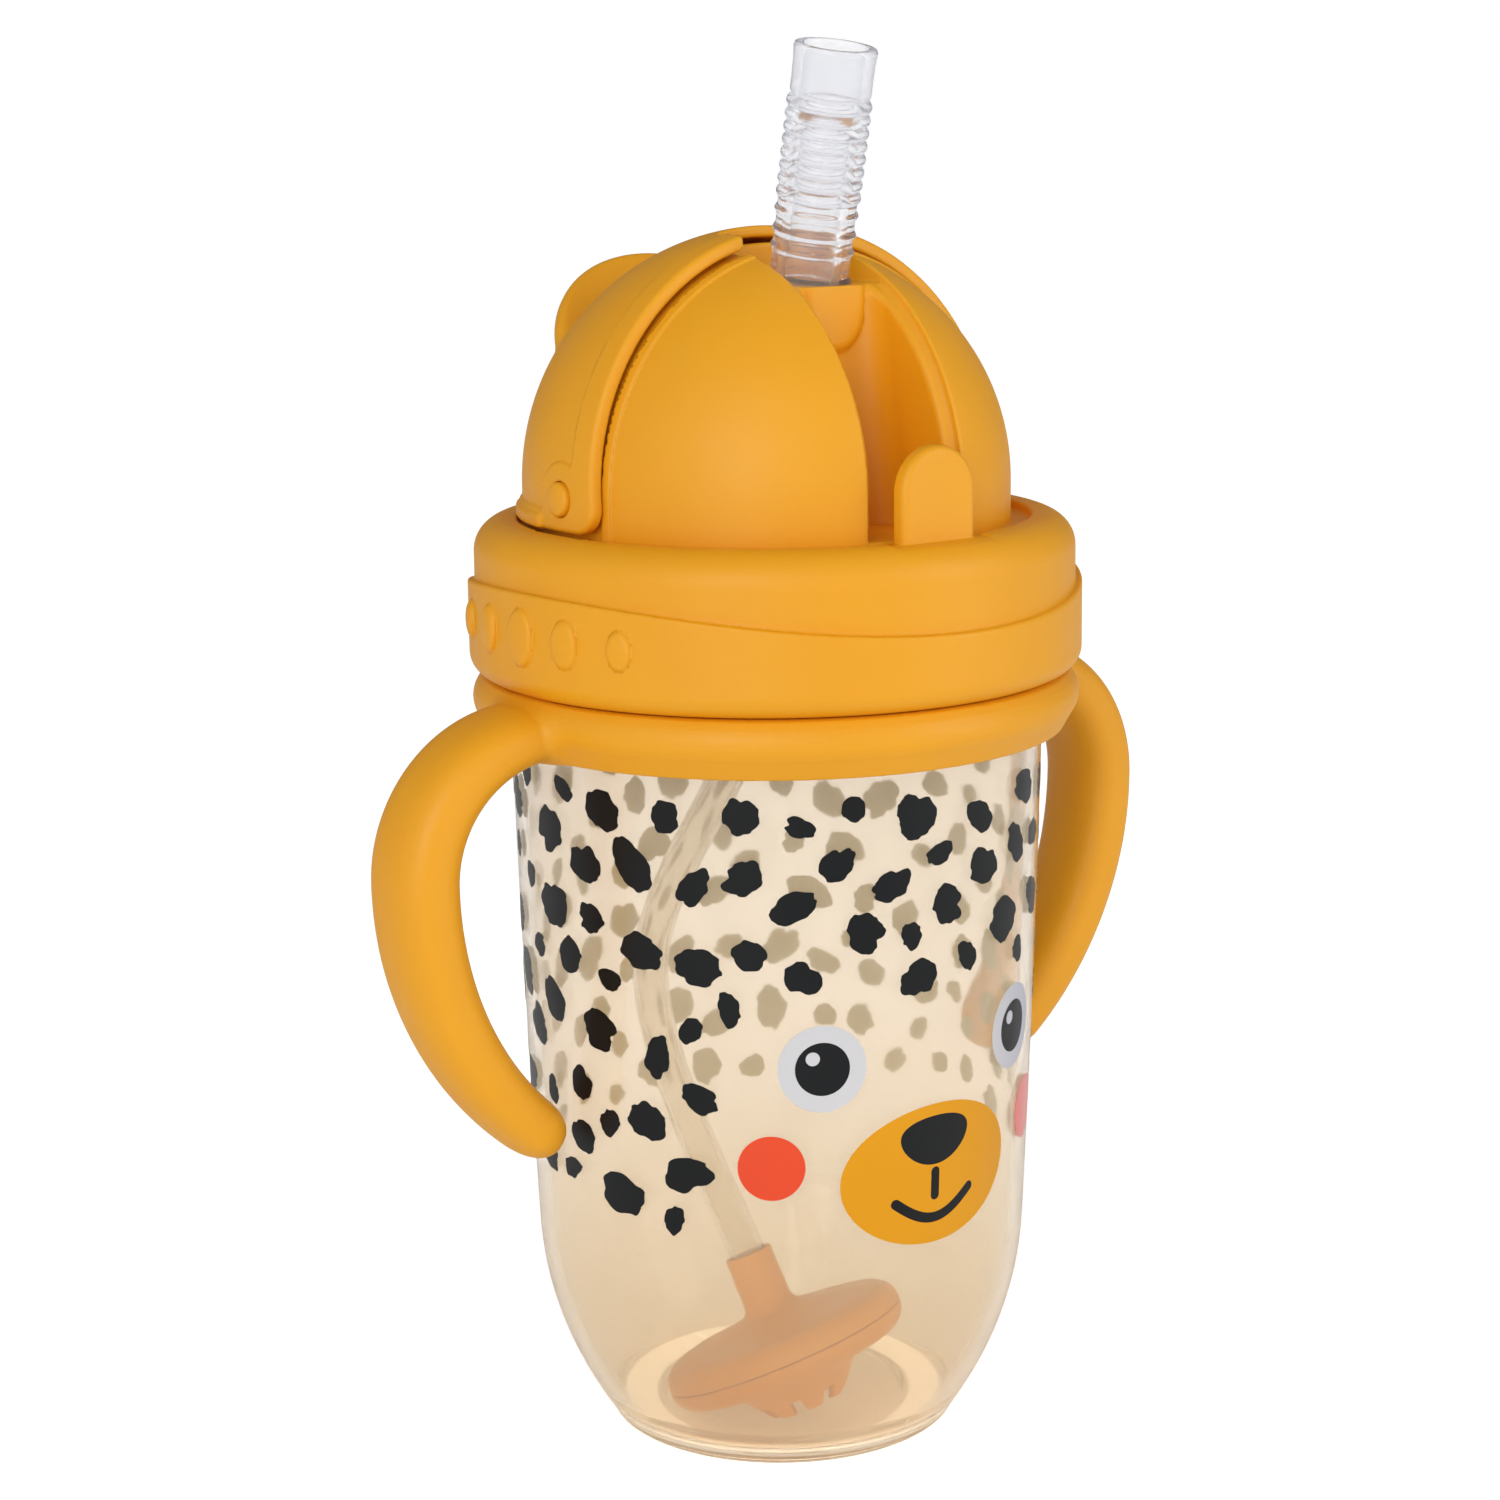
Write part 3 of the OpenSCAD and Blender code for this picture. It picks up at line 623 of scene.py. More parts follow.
# ---------------------------------------------------------------- print on the bottle
# Printed shapes are laid out as (angle in degrees, height).

FRONT = -90.0             # angle of the bottle's front
PRINT_BED = -0.03         # back of the print, just inside the wall


def degrees_per_mm(z):
    return 180 / pi / side_r(z)


def print_shapes(name, shapes, material, high, rings=4):
    """Thin printed shapes, each a centre and its outline; high is how far they stand proud."""
    points, triangles, quads = [], [], []
    base = 0
    for centre, outline in shapes:
        outline = np.array(outline, float)
        centre = np.array(centre, float)
        count = len(outline)
        rows = [centre[None, :]]
        rows += [centre + (outline - centre) * (k / rings) for k in range(1, rings + 1)]
        flat = np.concatenate(rows)
        angles = np.radians(flat[:, 0])
        for offset in (high, PRINT_BED):
            radius = np.array([side_r(z) for z in flat[:, 1]]) + offset
            points.append(np.stack(
                [radius * np.cos(angles), radius * np.sin(angles), flat[:, 1]], 1))
        under = base + len(flat)
        i = np.arange(count)
        j = (i + 1) % count
        triangles.append(np.stack([np.full(count, base), base + 1 + i, base + 1 + j], 1))
        triangles.append(np.stack([np.full(count, under), under + 1 + j, under + 1 + i], 1))
        for k in range(rings - 1):
            inner, outer = 1 + k * count, 1 + (k + 1) * count
            quads.append(np.stack([base + inner + i, base + outer + i,
                                   base + outer + j, base + inner + j], 1))
            quads.append(np.stack([under + inner + j, under + outer + j,
                                   under + outer + i, under + inner + i], 1))
        rim = 1 + (rings - 1) * count
        quads.append(np.stack([base + rim + i, under + rim + i,
                               under + rim + j, base + rim + j], 1))
        base += 2 * len(flat)
    faces = [np.concatenate(triangles), np.concatenate(quads)]
    piece = new_mesh(name, np.concatenate(points), faces, sharp_angle=50)
    finish_piece(piece, material, "bottle")


def oval(angle, height, half_width, half_height, count, taper=0.0, power=1.0):
    """An oval with its half sizes along the surface; a negative taper widens its top."""
    outline = []
    for i in range(count):
        across, up = cos(2 * pi * i / count), sin(2 * pi * i / count)
        x = half_width * math.copysign(abs(across) ** power, across)
        z = half_height * math.copysign(abs(up) ** power, up)
        x *= 1 - taper * z / half_height
        outline.append((angle + x * degrees_per_mm(height), height + z))
    return (angle, height), outline


def discs(spread, height, radius, count, offset=0.0):
    """A pair of discs, spread degrees to each side of the front."""
    return [oval(FRONT + side * spread + offset, height, radius, radius, count)
            for side in (-1, 1)]


def blot(rng, angle, height, size):
    """One irregular spot with a nibbled edge."""
    stretch = 1 + rng.uniform(-0.06, 0.26)
    tilt = rng.uniform(0, pi)
    # only four phases are used; the fifth draw keeps the random sequence
    phases = [rng.uniform(0, 6.28) for _ in range(5)]
    swings = [rng.uniform(low, high)
              for low, high in ((0.03, 0.11), (0.02, 0.08), (0.02, 0.05), (0.015, 0.04))]
    bite = rng.uniform(0, 6.28) if rng.random() < 0.45 else None
    steps = [rng.uniform(-0.055, 0.055) for _ in range(22)]
    outline = []
    for i in range(60):
        turned = 2 * pi * i / 60
        radius = 1
        for waves, swing, phase in zip((2, 3, 5, 8), swings, phases):
            radius += swing * sin(waves * turned + phase)
        radius += steps[int(turned / 6.2832 * 22) % 22]
        if bite is not None:
            from_bite = (turned - bite + pi) % (2 * pi) - pi
            radius -= 0.26 * math.exp(-(from_bite / 0.3) ** 2)
        x = size * radius * cos(turned) * stretch
        z = size * radius * sin(turned) / stretch
        outline.append((angle + (x * cos(tilt) - z * sin(tilt)) * degrees_per_mm(height),
                        height + x * sin(tilt) + z * cos(tilt)))
    return (angle, height), outline


def angle_gap(first, second):
    return abs((first - second + 180) % 360 - 180)


def spots():
    """Seeded spots round the upper bottle, reaching lower at the sides and back."""
    rng = random.Random(11)
    placed = []
    for _ in range(9000):
        angle = rng.uniform(-180, 180)
        height = 33 + 59.5 * rng.random()
        size = rng.choice([1.7, 2.15, 2.4, 2.6, 2.8, 3.0]) * rng.uniform(0.94, 1.06)
        # lower edge of the spotted area: high over the face
        edge = max(65.0 - max(angle_gap(angle, FRONT) - 43, 0) * 1.9, 34.5)
        if height - size < edge or height + size > 93.6:
            continue
        for other_angle, other_height, other_size in placed:
            across = angle_gap(angle, other_angle) * pi / 180 * 34
            clearance = rng.uniform(1.3, 2.1)
            if math.hypot(across, height - other_height) < size + other_size + clearance:
                break
        else:
            placed.append((angle, height, size))
    return [blot(rng, *spot) for spot in placed]


def print_lines(name, lines, material, high=0.055):
    """Printed lines of even width with round ends; each is its (x, z) points and a width."""
    points, quads = [], []
    across = 5
    cap_steps = 6
    cap_angles = [radians(90 * i / cap_steps) for i in range(1, cap_steps)]
    base = 0
    for line, width in lines:
        line = np.array(line, float)
        half = width / 2
        heading = np.gradient(line, axis=0)
        heading /= np.linalg.norm(heading, axis=1)[:, None]
        sideways = np.stack([-heading[:, 1], heading[:, 0]], 1)
        rows = [(line[0] - heading[0] * half * cos(a), half * sin(a), sideways[0])
                for a in cap_angles]
        rows += [(line[i], half, sideways[i]) for i in range(len(line))]
        rows += [(line[-1] + heading[-1] * half * sin(a), half * cos(a), sideways[-1])
                 for a in cap_angles]
        for offset in (high, PRINT_BED):
            for centre, reach, aside in rows:
                for j in range(across):
                    x, z = centre + aside * reach * (1 - 2 * j / (across - 1))
                    angle = radians(FRONT) + x / side_r(z)
                    radius = side_r(z) + offset
                    points.append((radius * cos(angle), radius * sin(angle), z))
        under = base + len(rows) * across
        for i in range(len(rows) - 1):
            row, after = i * across, (i + 1) * across
            for j in range(across - 1):
                a, b, c, d = row + j, row + j + 1, after + j + 1, after + j
                quads.append((base + a, base + d, base + c, base + b))
                quads.append((under + a, under + b, under + c, under + d))
            quads.append((base + row, under + row, under + after, base + after))
            a, b = row + across - 1, after + across - 1
            quads.append((base + a, base + b, under + b, under + a))
        for j in range(across - 1):
            quads.append((base + j, base + j + 1, under + j + 1, under + j))
            a = (len(rows) - 1) * across + j
            quads.append((base + a, under + a, under + a + 1, base + a + 1))
        base += 2 * len(rows) * across
    piece = new_mesh(name, points, [np.array(quads)], sharp_angle=50)
    finish_piece(piece, material, "bottle")


# the face: parts that lie on others stand a little prouder
EYE_SPREAD = 27.0
EYE_Z = 57.5
print_shapes("print_spots", spots(), BLACK, high=0.04)
print_shapes("print_muzzle", [oval(FRONT, 41.5, 13.6, 9.4, 88)], MUSTARD, high=0.04, rings=8)
print_shapes("print_nose", [oval(FRONT, 46.0, 5.3, 3.3, 64, taper=-0.22, power=0.95)],
             BLACK, high=0.055, rings=5)
print_shapes("print_eyes", discs(EYE_SPREAD, EYE_Z, 5.7, 72), EYE, high=0.04, rings=6)
print_shapes("print_pupils", discs(EYE_SPREAD, EYE_Z, 3.5, 64), BLACK, high=0.055, rings=5)
print_shapes("print_highlights", discs(EYE_SPREAD, 58.9, 0.9, 32, offset=-2.1),
             EYE, high=0.07, rings=2)
print_shapes("print_cheeks", discs(38.0, 44.5, 4.3, 64), CORAL, high=0.04, rings=6)

stem = [(0.0, 41.7 - 0.4 * i) for i in range(9)]
smile = [(x, 38.6 - 3.1 * cos(x / 6.4 * pi / 2)) for x in np.linspace(-6.0, 6.0, 41)]
print_lines("print_mouth", [(stem, 1.3), (smile, 1.35)], BLACK)


# ---------------------------------------------------------------- handle ring

RING_EDGE = 0.3           # rounding of the ring's edges, added round its core
RING_R = 35.75            # inner radius of the ring's skirt
# (r, z) section of the ring, inset by the rounding
RING_CORE = [
    (35.9, 95.7), (38.0, 95.7), *arc(36.6, 99.9, 3.3, -38, 42, 8),
    (38.7, 102.55), (38.1, 102.75), (34.55, 102.75), (34.55, 99.5), (35.9, 99.5)]

# An arm's centre line: a short straight, an upper quarter turn, then a wider lower arc
ELBOW_X = 38.25
ELBOW_Z = 81.4
UPPER_R = 17.4
LOWER_R = 45.4
LOWER_X = ELBOW_X - (LOWER_R - UPPER_R)
ARM_STRAIGHT = 1.5
ARM_LENGTH = ARM_STRAIGHT + UPPER_R * pi / 2 + LOWER_R * radians(55)
ARM_TIP = 5.2             # length over which the arm's end is rounded off
ARM_HALF_THICKNESS = 4.6
ARM_HALF_WIDTH = 6.5


def handles_field(x, y, z):
    radius = np.hypot(x, y)
    ring = polygon_distance(radius, z, RING_CORE) - RING_EDGE
    out = np.abs(x)
    # off is the distance across the centre line, along the distance down it
    upper = np.clip(np.arctan2(z - ELBOW_Z, out - ELBOW_X), 0, pi / 2)
    off_upper = np.where(out < ELBOW_X, z - (ELBOW_Z + UPPER_R),
                         np.hypot(out - ELBOW_X, z - ELBOW_Z) - UPPER_R)
    along_upper = np.where(out < ELBOW_X, out - (ELBOW_X - ARM_STRAIGHT),
                           ARM_STRAIGHT + (pi / 2 - upper) * UPPER_R)
    lower = np.arctan2(z - ELBOW_Z, out - LOWER_X)
    off_lower = np.hypot(out - LOWER_X, z - ELBOW_Z) - LOWER_R
    along_lower = ARM_STRAIGHT + UPPER_R * pi / 2 - lower * LOWER_R
    off = np.where(z > ELBOW_Z, off_upper, off_lower)
    along = np.where(z > ELBOW_Z, along_upper, along_lower)
    part = np.clip(along / ARM_LENGTH, 0, 1)
    # the arm thickens from its root, then thins and narrows towards its tip
    swell = (0.76 + 0.24 * np.sin(pi / 2 * np.minimum(1, part / 0.42))
             - 0.2 * (np.maximum(0, part - 0.5) / 0.5) ** 1.5)
    spread = (1.08 - 0.08 * np.sin(pi / 2 * np.minimum(1, part / 0.3))
              - 0.16 * (np.maximum(0, part - 0.45) / 0.55) ** 1.4)
    thickness, width = ARM_HALF_THICKNESS * swell, ARM_HALF_WIDTH * spread
    section = ((np.abs(off) / thickness) ** 2.5 + (np.abs(y) / width) ** 2.5 + 1e-12) ** 0.4
    tip = np.maximum(0, (along - (ARM_LENGTH - ARM_TIP)) / ARM_TIP)
    arm = (np.sqrt(section * section + tip * tip) - 1) * np.minimum(thickness, ARM_TIP)
    arm = np.where(along > ARM_LENGTH + 8, 20.0, arm)
    arm = np.maximum(arm, 36.3 - radius)
    both = round_union(ring, arm, 1.5)
    return np.where(z < 99.2, np.maximum(both, RING_R - radius), both)


finish_piece(surface("handle_ring_moulding", handles_field, (-61, -41, 41), (61, 41, 104),
                     0.42),
             YELLOW, "handles", ["handle_ring"])


# ---------------------------------------------------------------- lid

COLLAR_R = 39.6
COLLAR_TOP_Z = 123.4
COLLAR_BOTTOM_Z = 103.2
BAND_R = 40.5             # raised band round the lower collar
GRIP_TURN = 2.4           # degrees that the band and its grips are turned about Z
GRIP_STEP = 11.8          # degrees between grips
GRIP_Z = 111.2
DECK_Z = 122.2            # floor of the recess round the dome
UNDERSIDE_Z = 119.6       # underside of the deck
DOME_R = 31.1
CHANNEL_HALF = 7.4        # half width of the channel; the knob fills it
LID_THREAD_Z = 106.75


def domed(x, y, z):
    """Distance from the Z axis, or above the pivot from the dome's centre."""
    above = np.maximum(z - PIVOT_Z, 0)
    return np.sqrt(x * x + y * y + above * above)


def channel_cut(x, y, z):
    """The channel down the front of the dome, and the pocket behind the knob."""
    out = np.abs(x)
    from_pivot = np.hypot(y, z - PIVOT_Z)
    floor_y = -12.2 - (150 - z) * 0.160
    wide = round_overlap(round_overlap(out - CHANNEL_HALF, 28.9 - from_pivot, 0.9),
                         y + 12.0, 0.8)
    narrow = round_overlap(out - 6.0, y - floor_y, 4.6)
    channel = round_union(wide, narrow, 0.9)
    channel = np.maximum(channel, 123.2 - z)
    pocket = round_overlap(out - CHANNEL_HALF, np.abs(y + 7.0) - 7.5, 1.6)
    pocket = round_overlap(pocket, STRAW_Z - z, 0.2)
    return np.minimum(channel, pocket)


def knob(x, y, z):
    """The round-ended block that the straw stands on."""
    back = y - STRAW_Y
    ball = np.where(z > 150, np.hypot(x, back),
                    np.sqrt(x * x + back ** 2 + (z - 150) ** 2)) - CHANNEL_HALF
    return round_overlap(round_overlap(ball, -14.0 - y, 0.25), z - STRAW_Z, 0.2)


def front_tab(x, y, z):
    """The round-topped tab on the front of the collar."""
    tab = np.where(z > 129.4, np.hypot(x, z - 129.4), np.abs(x)) - 5.7
    tab = round_overlap(tab, -34.8 - y, 0.95)
    tab = round_overlap(tab, y + 32.5, 0.35)
    return np.maximum(tab, 121.6 - z)


def lid_collar(x, y, z, radius):
    collar = round_overlap(radius - COLLAR_R, z - COLLAR_TOP_Z, 4.2)
    collar = round_overlap(collar, COLLAR_BOTTOM_Z - z, 2.2)
    # the band's top edge dips at the front and back and rises towards the grips
    across = x * cos(radians(GRIP_TURN)) + y * sin(radians(GRIP_TURN))
    band = round_overlap(radius - BAND_R, 192.9 - np.hypot(across, z - 305.5), 0.42)
    band = round_overlap(band, COLLAR_BOTTOM_Z - z, 2.8)
    collar = round_union(collar, band, 0.3)
    # five domed oval grips on each side, smaller away from the middle one
    for side in (0, 180):
        for i in range(-2, 3):
            angle = radians(180 + side + GRIP_TURN + GRIP_STEP * i)
            scale = 1 - 0.16 * abs(i)
            out = x * cos(angle) + y * sin(angle)
            aside = -x * sin(angle) + y * cos(angle)
            width, height = 2.6 * scale, 3.85 * scale
            rim = (np.hypot(aside / width, (z - GRIP_Z) / height) - 1) * 2.8 * scale
            crown = 41.34 - 0.42 * ((z - GRIP_Z) / height) ** 2 - 0.2 * (aside / width) ** 2
            grip = np.maximum(round_overlap(rim, out - crown, 0.6), 38.0 - out)
            collar = round_union(collar, grip, 0.06)
    bore = round_overlap(radius - 36.2, z - UNDERSIDE_Z, 0.5)
    collar = round_cut(collar, bore, 0.3)
    recess = round_overlap(radius - 33.75, DECK_Z - z, 0.3)
    return round_cut(collar, recess, 0.4)


def lid_dome(y, z, dome_radius):
    """The dome, a little lower behind a rib that runs over it from side to side."""
    drop = 0.3 * smooth_step((y + 6.1) / 0.5)
    dome = np.maximum(dome_radius - (DOME_R - drop), UNDERSIDE_Z - z)
    rib = round_overlap(dome_radius - 31.46, np.abs(y + 6.45) - 0.72, 0.2)
    rib = round_overlap(rib, DECK_Z - z, 0.1)
    return round_union(dome, rib, 0.15)


def cover_relief(x, y, z):
    """Room for the cover's lower front corners."""
    out = np.abs(x)
    relief = np.maximum(np.hypot(y, z - PIVOT_Z) - 7.1,
                        np.where(z < DECK_Z, 30.3, 31.0) - out)
    slot = np.maximum(np.abs(out - 31.65) - 1.45, np.abs(y + 4.4) - 2.0)
    slot = np.maximum(slot, np.abs(z - 122.1) - 0.5)
    return np.maximum(np.minimum(relief, slot), out - 34.0)


def straw_hole(x, y, z):
    """A stepped hole on the straw's leaning axis, wider at its top and below."""
    back, up = y - STRAW_Y, z - STRAW_Z
    along = back * STRAW_AXIS[1] + up * STRAW_AXIS[2]
    radial = np.hypot(x, back * STRAW_AXIS[2] - up * STRAW_AXIS[1])
    hole = np.minimum(radial - 4.7, np.where(along < -2.4, radial - 5.9, 50.0))
    hole = np.minimum(hole, np.where(along > 0.1, radial - 5.6, 50.0))
    return np.where((along > 7) | (along < -16), 50.0, hole)


def vent_hole(x, y, z):
    lean_y, lean_z = sin(radians(VENT_LEAN)), cos(radians(VENT_LEAN))
    along = y * lean_y + (z - PIVOT_Z) * lean_z
    radial = np.hypot(x, y * lean_z - (z - PIVOT_Z) * lean_y)
    return np.where(along > 30.1, radial - 2.5, np.where(along > 25, radial - 1.5, 50.0))


def lid_thread(x, y, z, radius):
    along = thread_turn(np.arctan2(y, x))
    middle = LID_THREAD_Z + THREAD_PITCH * along / 360
    thread = np.maximum(np.abs(z - middle) - 0.75, np.abs(radius - 35.6) - 1.2)
    half = THREAD_SPAN / 2
    return np.maximum(thread, (np.abs(along - half) - half) * 0.6)


def lid_field(x, y, z):
    radius = np.hypot(x, y)
    dome_radius = domed(x, y, z)
    lid = round_union(lid_collar(x, y, z, radius), lid_dome(y, z, dome_radius), 0.35)
    lid = round_cut(lid, cover_relief(x, y, z), 0.15)
    # the dome is hollow, with a block left round the channel and the knob
    channel = channel_cut(x, y, z)
    block = np.maximum(channel - 1.6, UNDERSIDE_Z - z)
    block = np.minimum(block, knob(x, y, z) - 0.2)
    hollow = np.maximum(dome_radius - 29.4, -block)
    lid = np.maximum(lid, -hollow)
    deck = np.maximum(np.maximum(np.abs(z - 120.9) - 1.3, radius - 37.0), 29.2 - radius)
    lid = np.minimum(lid, deck)
    lid = round_cut(lid, channel, 0.4)
    lid = round_union(lid, knob(x, y, z), 0.18)
    lid = round_union(lid, front_tab(x, y, z), 0.3)
    lid = np.maximum(lid, -straw_hole(x, y, z))
    pivot_holes = np.maximum(np.hypot(y, z - PIVOT_Z) - 2.05, 26.5 - np.abs(x))
    lid = np.maximum(lid, -pivot_holes)
    lid = np.maximum(lid, -vent_hole(x, y, z))
    return np.minimum(lid, lid_thread(x, y, z, radius))


finish_piece(surface("lid_moulding", lid_field, (-42.6, -42.0, 102.4), (42.6, 42.0, 160.0),
                     0.36),
             YELLOW, "lid", ["lid_body"])


# ---------------------------------------------------------------- cover

COVER_R = 33.42
COVER_INNER_R = 31.6
FRONT_TILT = atan2(1.95, 36.2)     # of the cover's front edge from the vertical
PANEL_TILT = atan2(1.4, 37.2)      # of the sunk panel's front edge


def cover_field(x, y, z):
    radius = np.hypot(x, y)
    dome_radius = domed(x, y, z)
    from_pivot = np.hypot(y, z - PIVOT_Z)
    front = -((y + 6.5) * cos(FRONT_TILT) - (z - 128.8) * sin(FRONT_TILT))
    bounds = round_overlap(front, 123.6 - z, 3.5)
    # a shallow panel behind the front edge, kept clear of the pivots
    panel_front = -((y + 2.6) * cos(PANEL_TILT) - (z - PIVOT_Z) * sin(PANEL_TILT))
    panel = round_overlap(np.maximum(panel_front, 126.0 - z), 4.6 - from_pivot, 0.8)
    sink = 0.34 * (1 - smooth_step((panel + 0.32) / 0.42))
    shell = round_overlap(dome_radius - (COVER_R - sink), COVER_INNER_R - dome_radius, 0.5)
    cover = round_overlap(shell, bounds, 0.62)
    # lip along the lower edge at the back
    lip = round_overlap(round_overlap(radius - 33.95, COVER_INNER_R - radius, 0.5),
                        np.abs(z - 124.55) - 0.95, 0.55)
    lip = round_overlap(lip, 4.5 - y, 0.9)
    cover = round_union(cover, lip, 0.35)
    # round fin that stands out of the back, tilted by 45 degrees
    back, up = y - 16.5, z - 140.8
    half_thickness = np.abs((-back + up) * math.sqrt(0.5)) - 1.5
    fin = round_overlap(np.hypot(x, (back + up) * math.sqrt(0.5)) - 21.0, half_thickness, 1.25)
    fin = np.maximum(fin, 31.9 - dome_radius)
    fin = np.maximum(fin, 12.0 - y)
    cover = round_union(cover, fin, 1.1)
    # notch in the top of the front edge
    notch = round_overlap(np.abs(x) - 7.8, y - 2.2, 2.2)
    cover = round_cut(cover, np.maximum(notch, 145.0 - z), 0.5)
    pivot_holes = np.maximum(from_pivot - 2.27, 30.0 - np.abs(x))
    return round_cut(cover, pivot_holes, 0.25)


finish_piece(surface("cover_moulding", cover_field, (-35.4, -8.2, 122.9), (35.4, 43.0, 162.2),
                     0.32),
             YELLOW, "cover", ["sliding_cover"])

# (r, distance from the centre) of a pivot pin, with corner radii
PIVOT_PIN = [
    (0, 27), (1.98, 27), (1.98, 31.0), (2.19, 31.05), (2.19, 33.95, 0.5),
    (0.7, 34.22, 1.0), (0, 34.25)]
for side, label in ((-1, "left"), (1, "right")):
    finish_piece(lathe("pivot_pin_%s_head" % label, rounded(PIVOT_PIN, 0.1), 64, 45,
                       shift(0, 0, PIVOT_Z) @ turn("Y", 90 * side)),
                 YELLOW, "lid", ["pivot_pin_%s" % label])


# ---------------------------------------------------------------- seals and straw

# (r, z) section of the gasket, from its underside
GASKET = [(32.0, 0), (35.2, 0), (35.2, 1.3), (31.0, 1.3), (31.0, 0.6), (32.0, 0.6)]
finish_piece(lathe("lid_gasket_ring", rounded(GASKET, 0.2), 192, 50, shift(0, 0, 118.25)),
             SEAL, "lid_seal", ["lid_gasket"])

# (r, distance from the dome's centre) of the vent valve
VENT_VALVE = [
    (0, 28.4), (3.6, 28.4), (3.6, 28.7), (1.4, 29.15), (1.4, 30.2), (2.3, 30.2),
    (2.3, 30.55), (0, 30.65)]
finish_piece(lathe("vent_valve_button", rounded(VENT_VALVE, 0.15), 64, 50,
                   shift(0, 0, PIVOT_Z) @ turn("X", -VENT_LEAN)),
             SEAL, "lid", ["vent_valve"])

STRAW = shift(0, STRAW_Y, STRAW_Z) @ turn("X", STRAW_LEAN)
MOUTH_R = 5.15
NECK_OF_STRAW_R = MOUTH_R - 0.1
STRAW_BORE_R = 3.1
FOLD_START = 10.9         # the bellows begin here, along the straw
FOLD_PITCH = 1.65
FOLDS = 8
FOLD_STEPS = 12


def straw_outline():
    """The mouthpiece's section as (r, distance along the straw)."""
    flange = rounded([
        (STRAW_BORE_R, -9.2), (5.0, -9.2, 0.3), (5.65, -6.5, 0.8), (5.65, -2.6, 0.2),
        (4.55, -2.5, 0.1), (4.55, 0.1, 0.1), (MOUTH_R + 0.35, 0.15, 0.2),
        (MOUTH_R + 0.35, 1.1, 0.35), (NECK_OF_STRAW_R, 1.65, 0.2),
        (NECK_OF_STRAW_R, 3.9, 0.0), (STRAW_BORE_R, 3.9, 0.0)], 0.1, 4)
    # the last corner only closes the flange for rounding
    outline = flange[:-1]
    for z in np.arange(3.95, 10.75, 0.14):
        ribs = sum(0.34 * math.exp(-((z - rib) / 0.46) ** 2) for rib in (4.75, 7.0, 9.5))
        outline.append((NECK_OF_STRAW_R + ribs, z))
    for k in range(FOLDS * FOLD_STEPS + 1):
        crest = sin(pi * (k % FOLD_STEPS) / FOLD_STEPS)
        outline.append((MOUTH_R - 0.27 + 0.56 * crest ** 0.62,
                        FOLD_START + FOLD_PITCH * k / FOLD_STEPS))
    fold_end = FOLD_START + FOLD_PITCH * FOLDS
    # mouth: (offset from MOUTH_R, distance), over the lip and down into the bore
    mouth = [
        (-0.12, fold_end + 0.25), (0.0, fold_end + 0.6), (0.0, 27.0), (0.03, 28.6),
        (0.12, 29.6), (0.16, 30.1), (0.12, 30.4), (-0.05, 30.58), (-0.3, 30.62),
        (-0.85, 30.6), (-1.08, 30.48), (-1.2, 30.2), (-1.25, 29.6), (-1.3, 25.6),
        (-1.3, 22.3), (-1.38, 21.9), (-1.7, 21.3), (-1.95, 20.9)]
    outline += [(MOUTH_R + offset, z) for offset, z in mouth]
    outline += [(3.14, 20.5), (STRAW_BORE_R, 20.0)]
    for z in np.arange(19.0, 11.5, -0.2):
        ripple = 0.16 * cos((z - FOLD_START) / FOLD_PITCH * 2 * pi)
        outline.append((STRAW_BORE_R + ripple, z))
    outline += [(STRAW_BORE_R, z) for z in (11.0, 7.0, 3.9, 1.7, -2.0)]
    return outline


mouthpiece = finish_piece(lathe("mouthpiece_silicone", straw_outline(), 96, 55, STRAW),
                          SILICONE, None, ["straw_mouthpiece"])
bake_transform(mouthpiece)

# (r, distance along the straw) of the plug between mouthpiece and tube
PLUG = [
    (0.9, -14.5), (1.25, -14.5), (1.4, -13.8), (1.4, -10.9), (4.6, -10.9), (4.6, -9.4),
    (3.05, -9.3), (3.05, -6.4), (2.7, -5.4), (1.9, -5.4), (1.9, -10), (0.9, -11)]
finish_piece(lathe("straw_connector_plug", rounded(PLUG, 0.12), 72, 50, STRAW),
             WHITE, "lid", ["straw_connector"])


# ---------------------------------------------------------------- inner tube

WEIGHT_CENTRE = np.array([-6.2, -9.1, 12.05])
WEIGHT_TILT = 25          # degrees from the vertical
WEIGHT_TURN = 115         # degrees about Z of the side it tilts to
WEIGHT_AXIS = np.array([sin(radians(WEIGHT_TILT)) * cos(radians(WEIGHT_TURN)),
                        sin(radians(WEIGHT_TILT)) * sin(radians(WEIGHT_TURN)),
                        cos(radians(WEIGHT_TILT))])
TUBE_R = 2.4
TUBE_BORE_R = 1.65
TUBE_CHAMFER = 0.12
TUBE_RINGS = 260
TUBE_SIDES = 40
BOW_TURN = radians(-36)   # heading about Z of the tube's bow


def bowed(aside, ahead, z):
    """A vector measured along and across the heading of the bow."""
    return np.array([aside * cos(BOW_TURN) + ahead * sin(BOW_TURN),
                     aside * sin(BOW_TURN) - ahead * cos(BOW_TURN), z])


# Curve pieces, top to bottom: start, its tangent, end, its tangent
TUBE_CURVES = [
    (np.array([0, STRAW_Y, STRAW_Z]) - 11.0 * STRAW_AXIS, -44 * STRAW_AXIS,
     bowed(-3, 3, 98), bowed(-9.2, -4, -40)),
    (bowed(-3, 3, 98), bowed(-9.2, -4, -37), bowed(-17.4, 0, 61), bowed(0, 1.5, -37)),
    (bowed(-17.4, 0, 61), bowed(0, 1.5, -37),
     WEIGHT_CENTRE + 10.6 * WEIGHT_AXIS, -36 * WEIGHT_AXIS)]


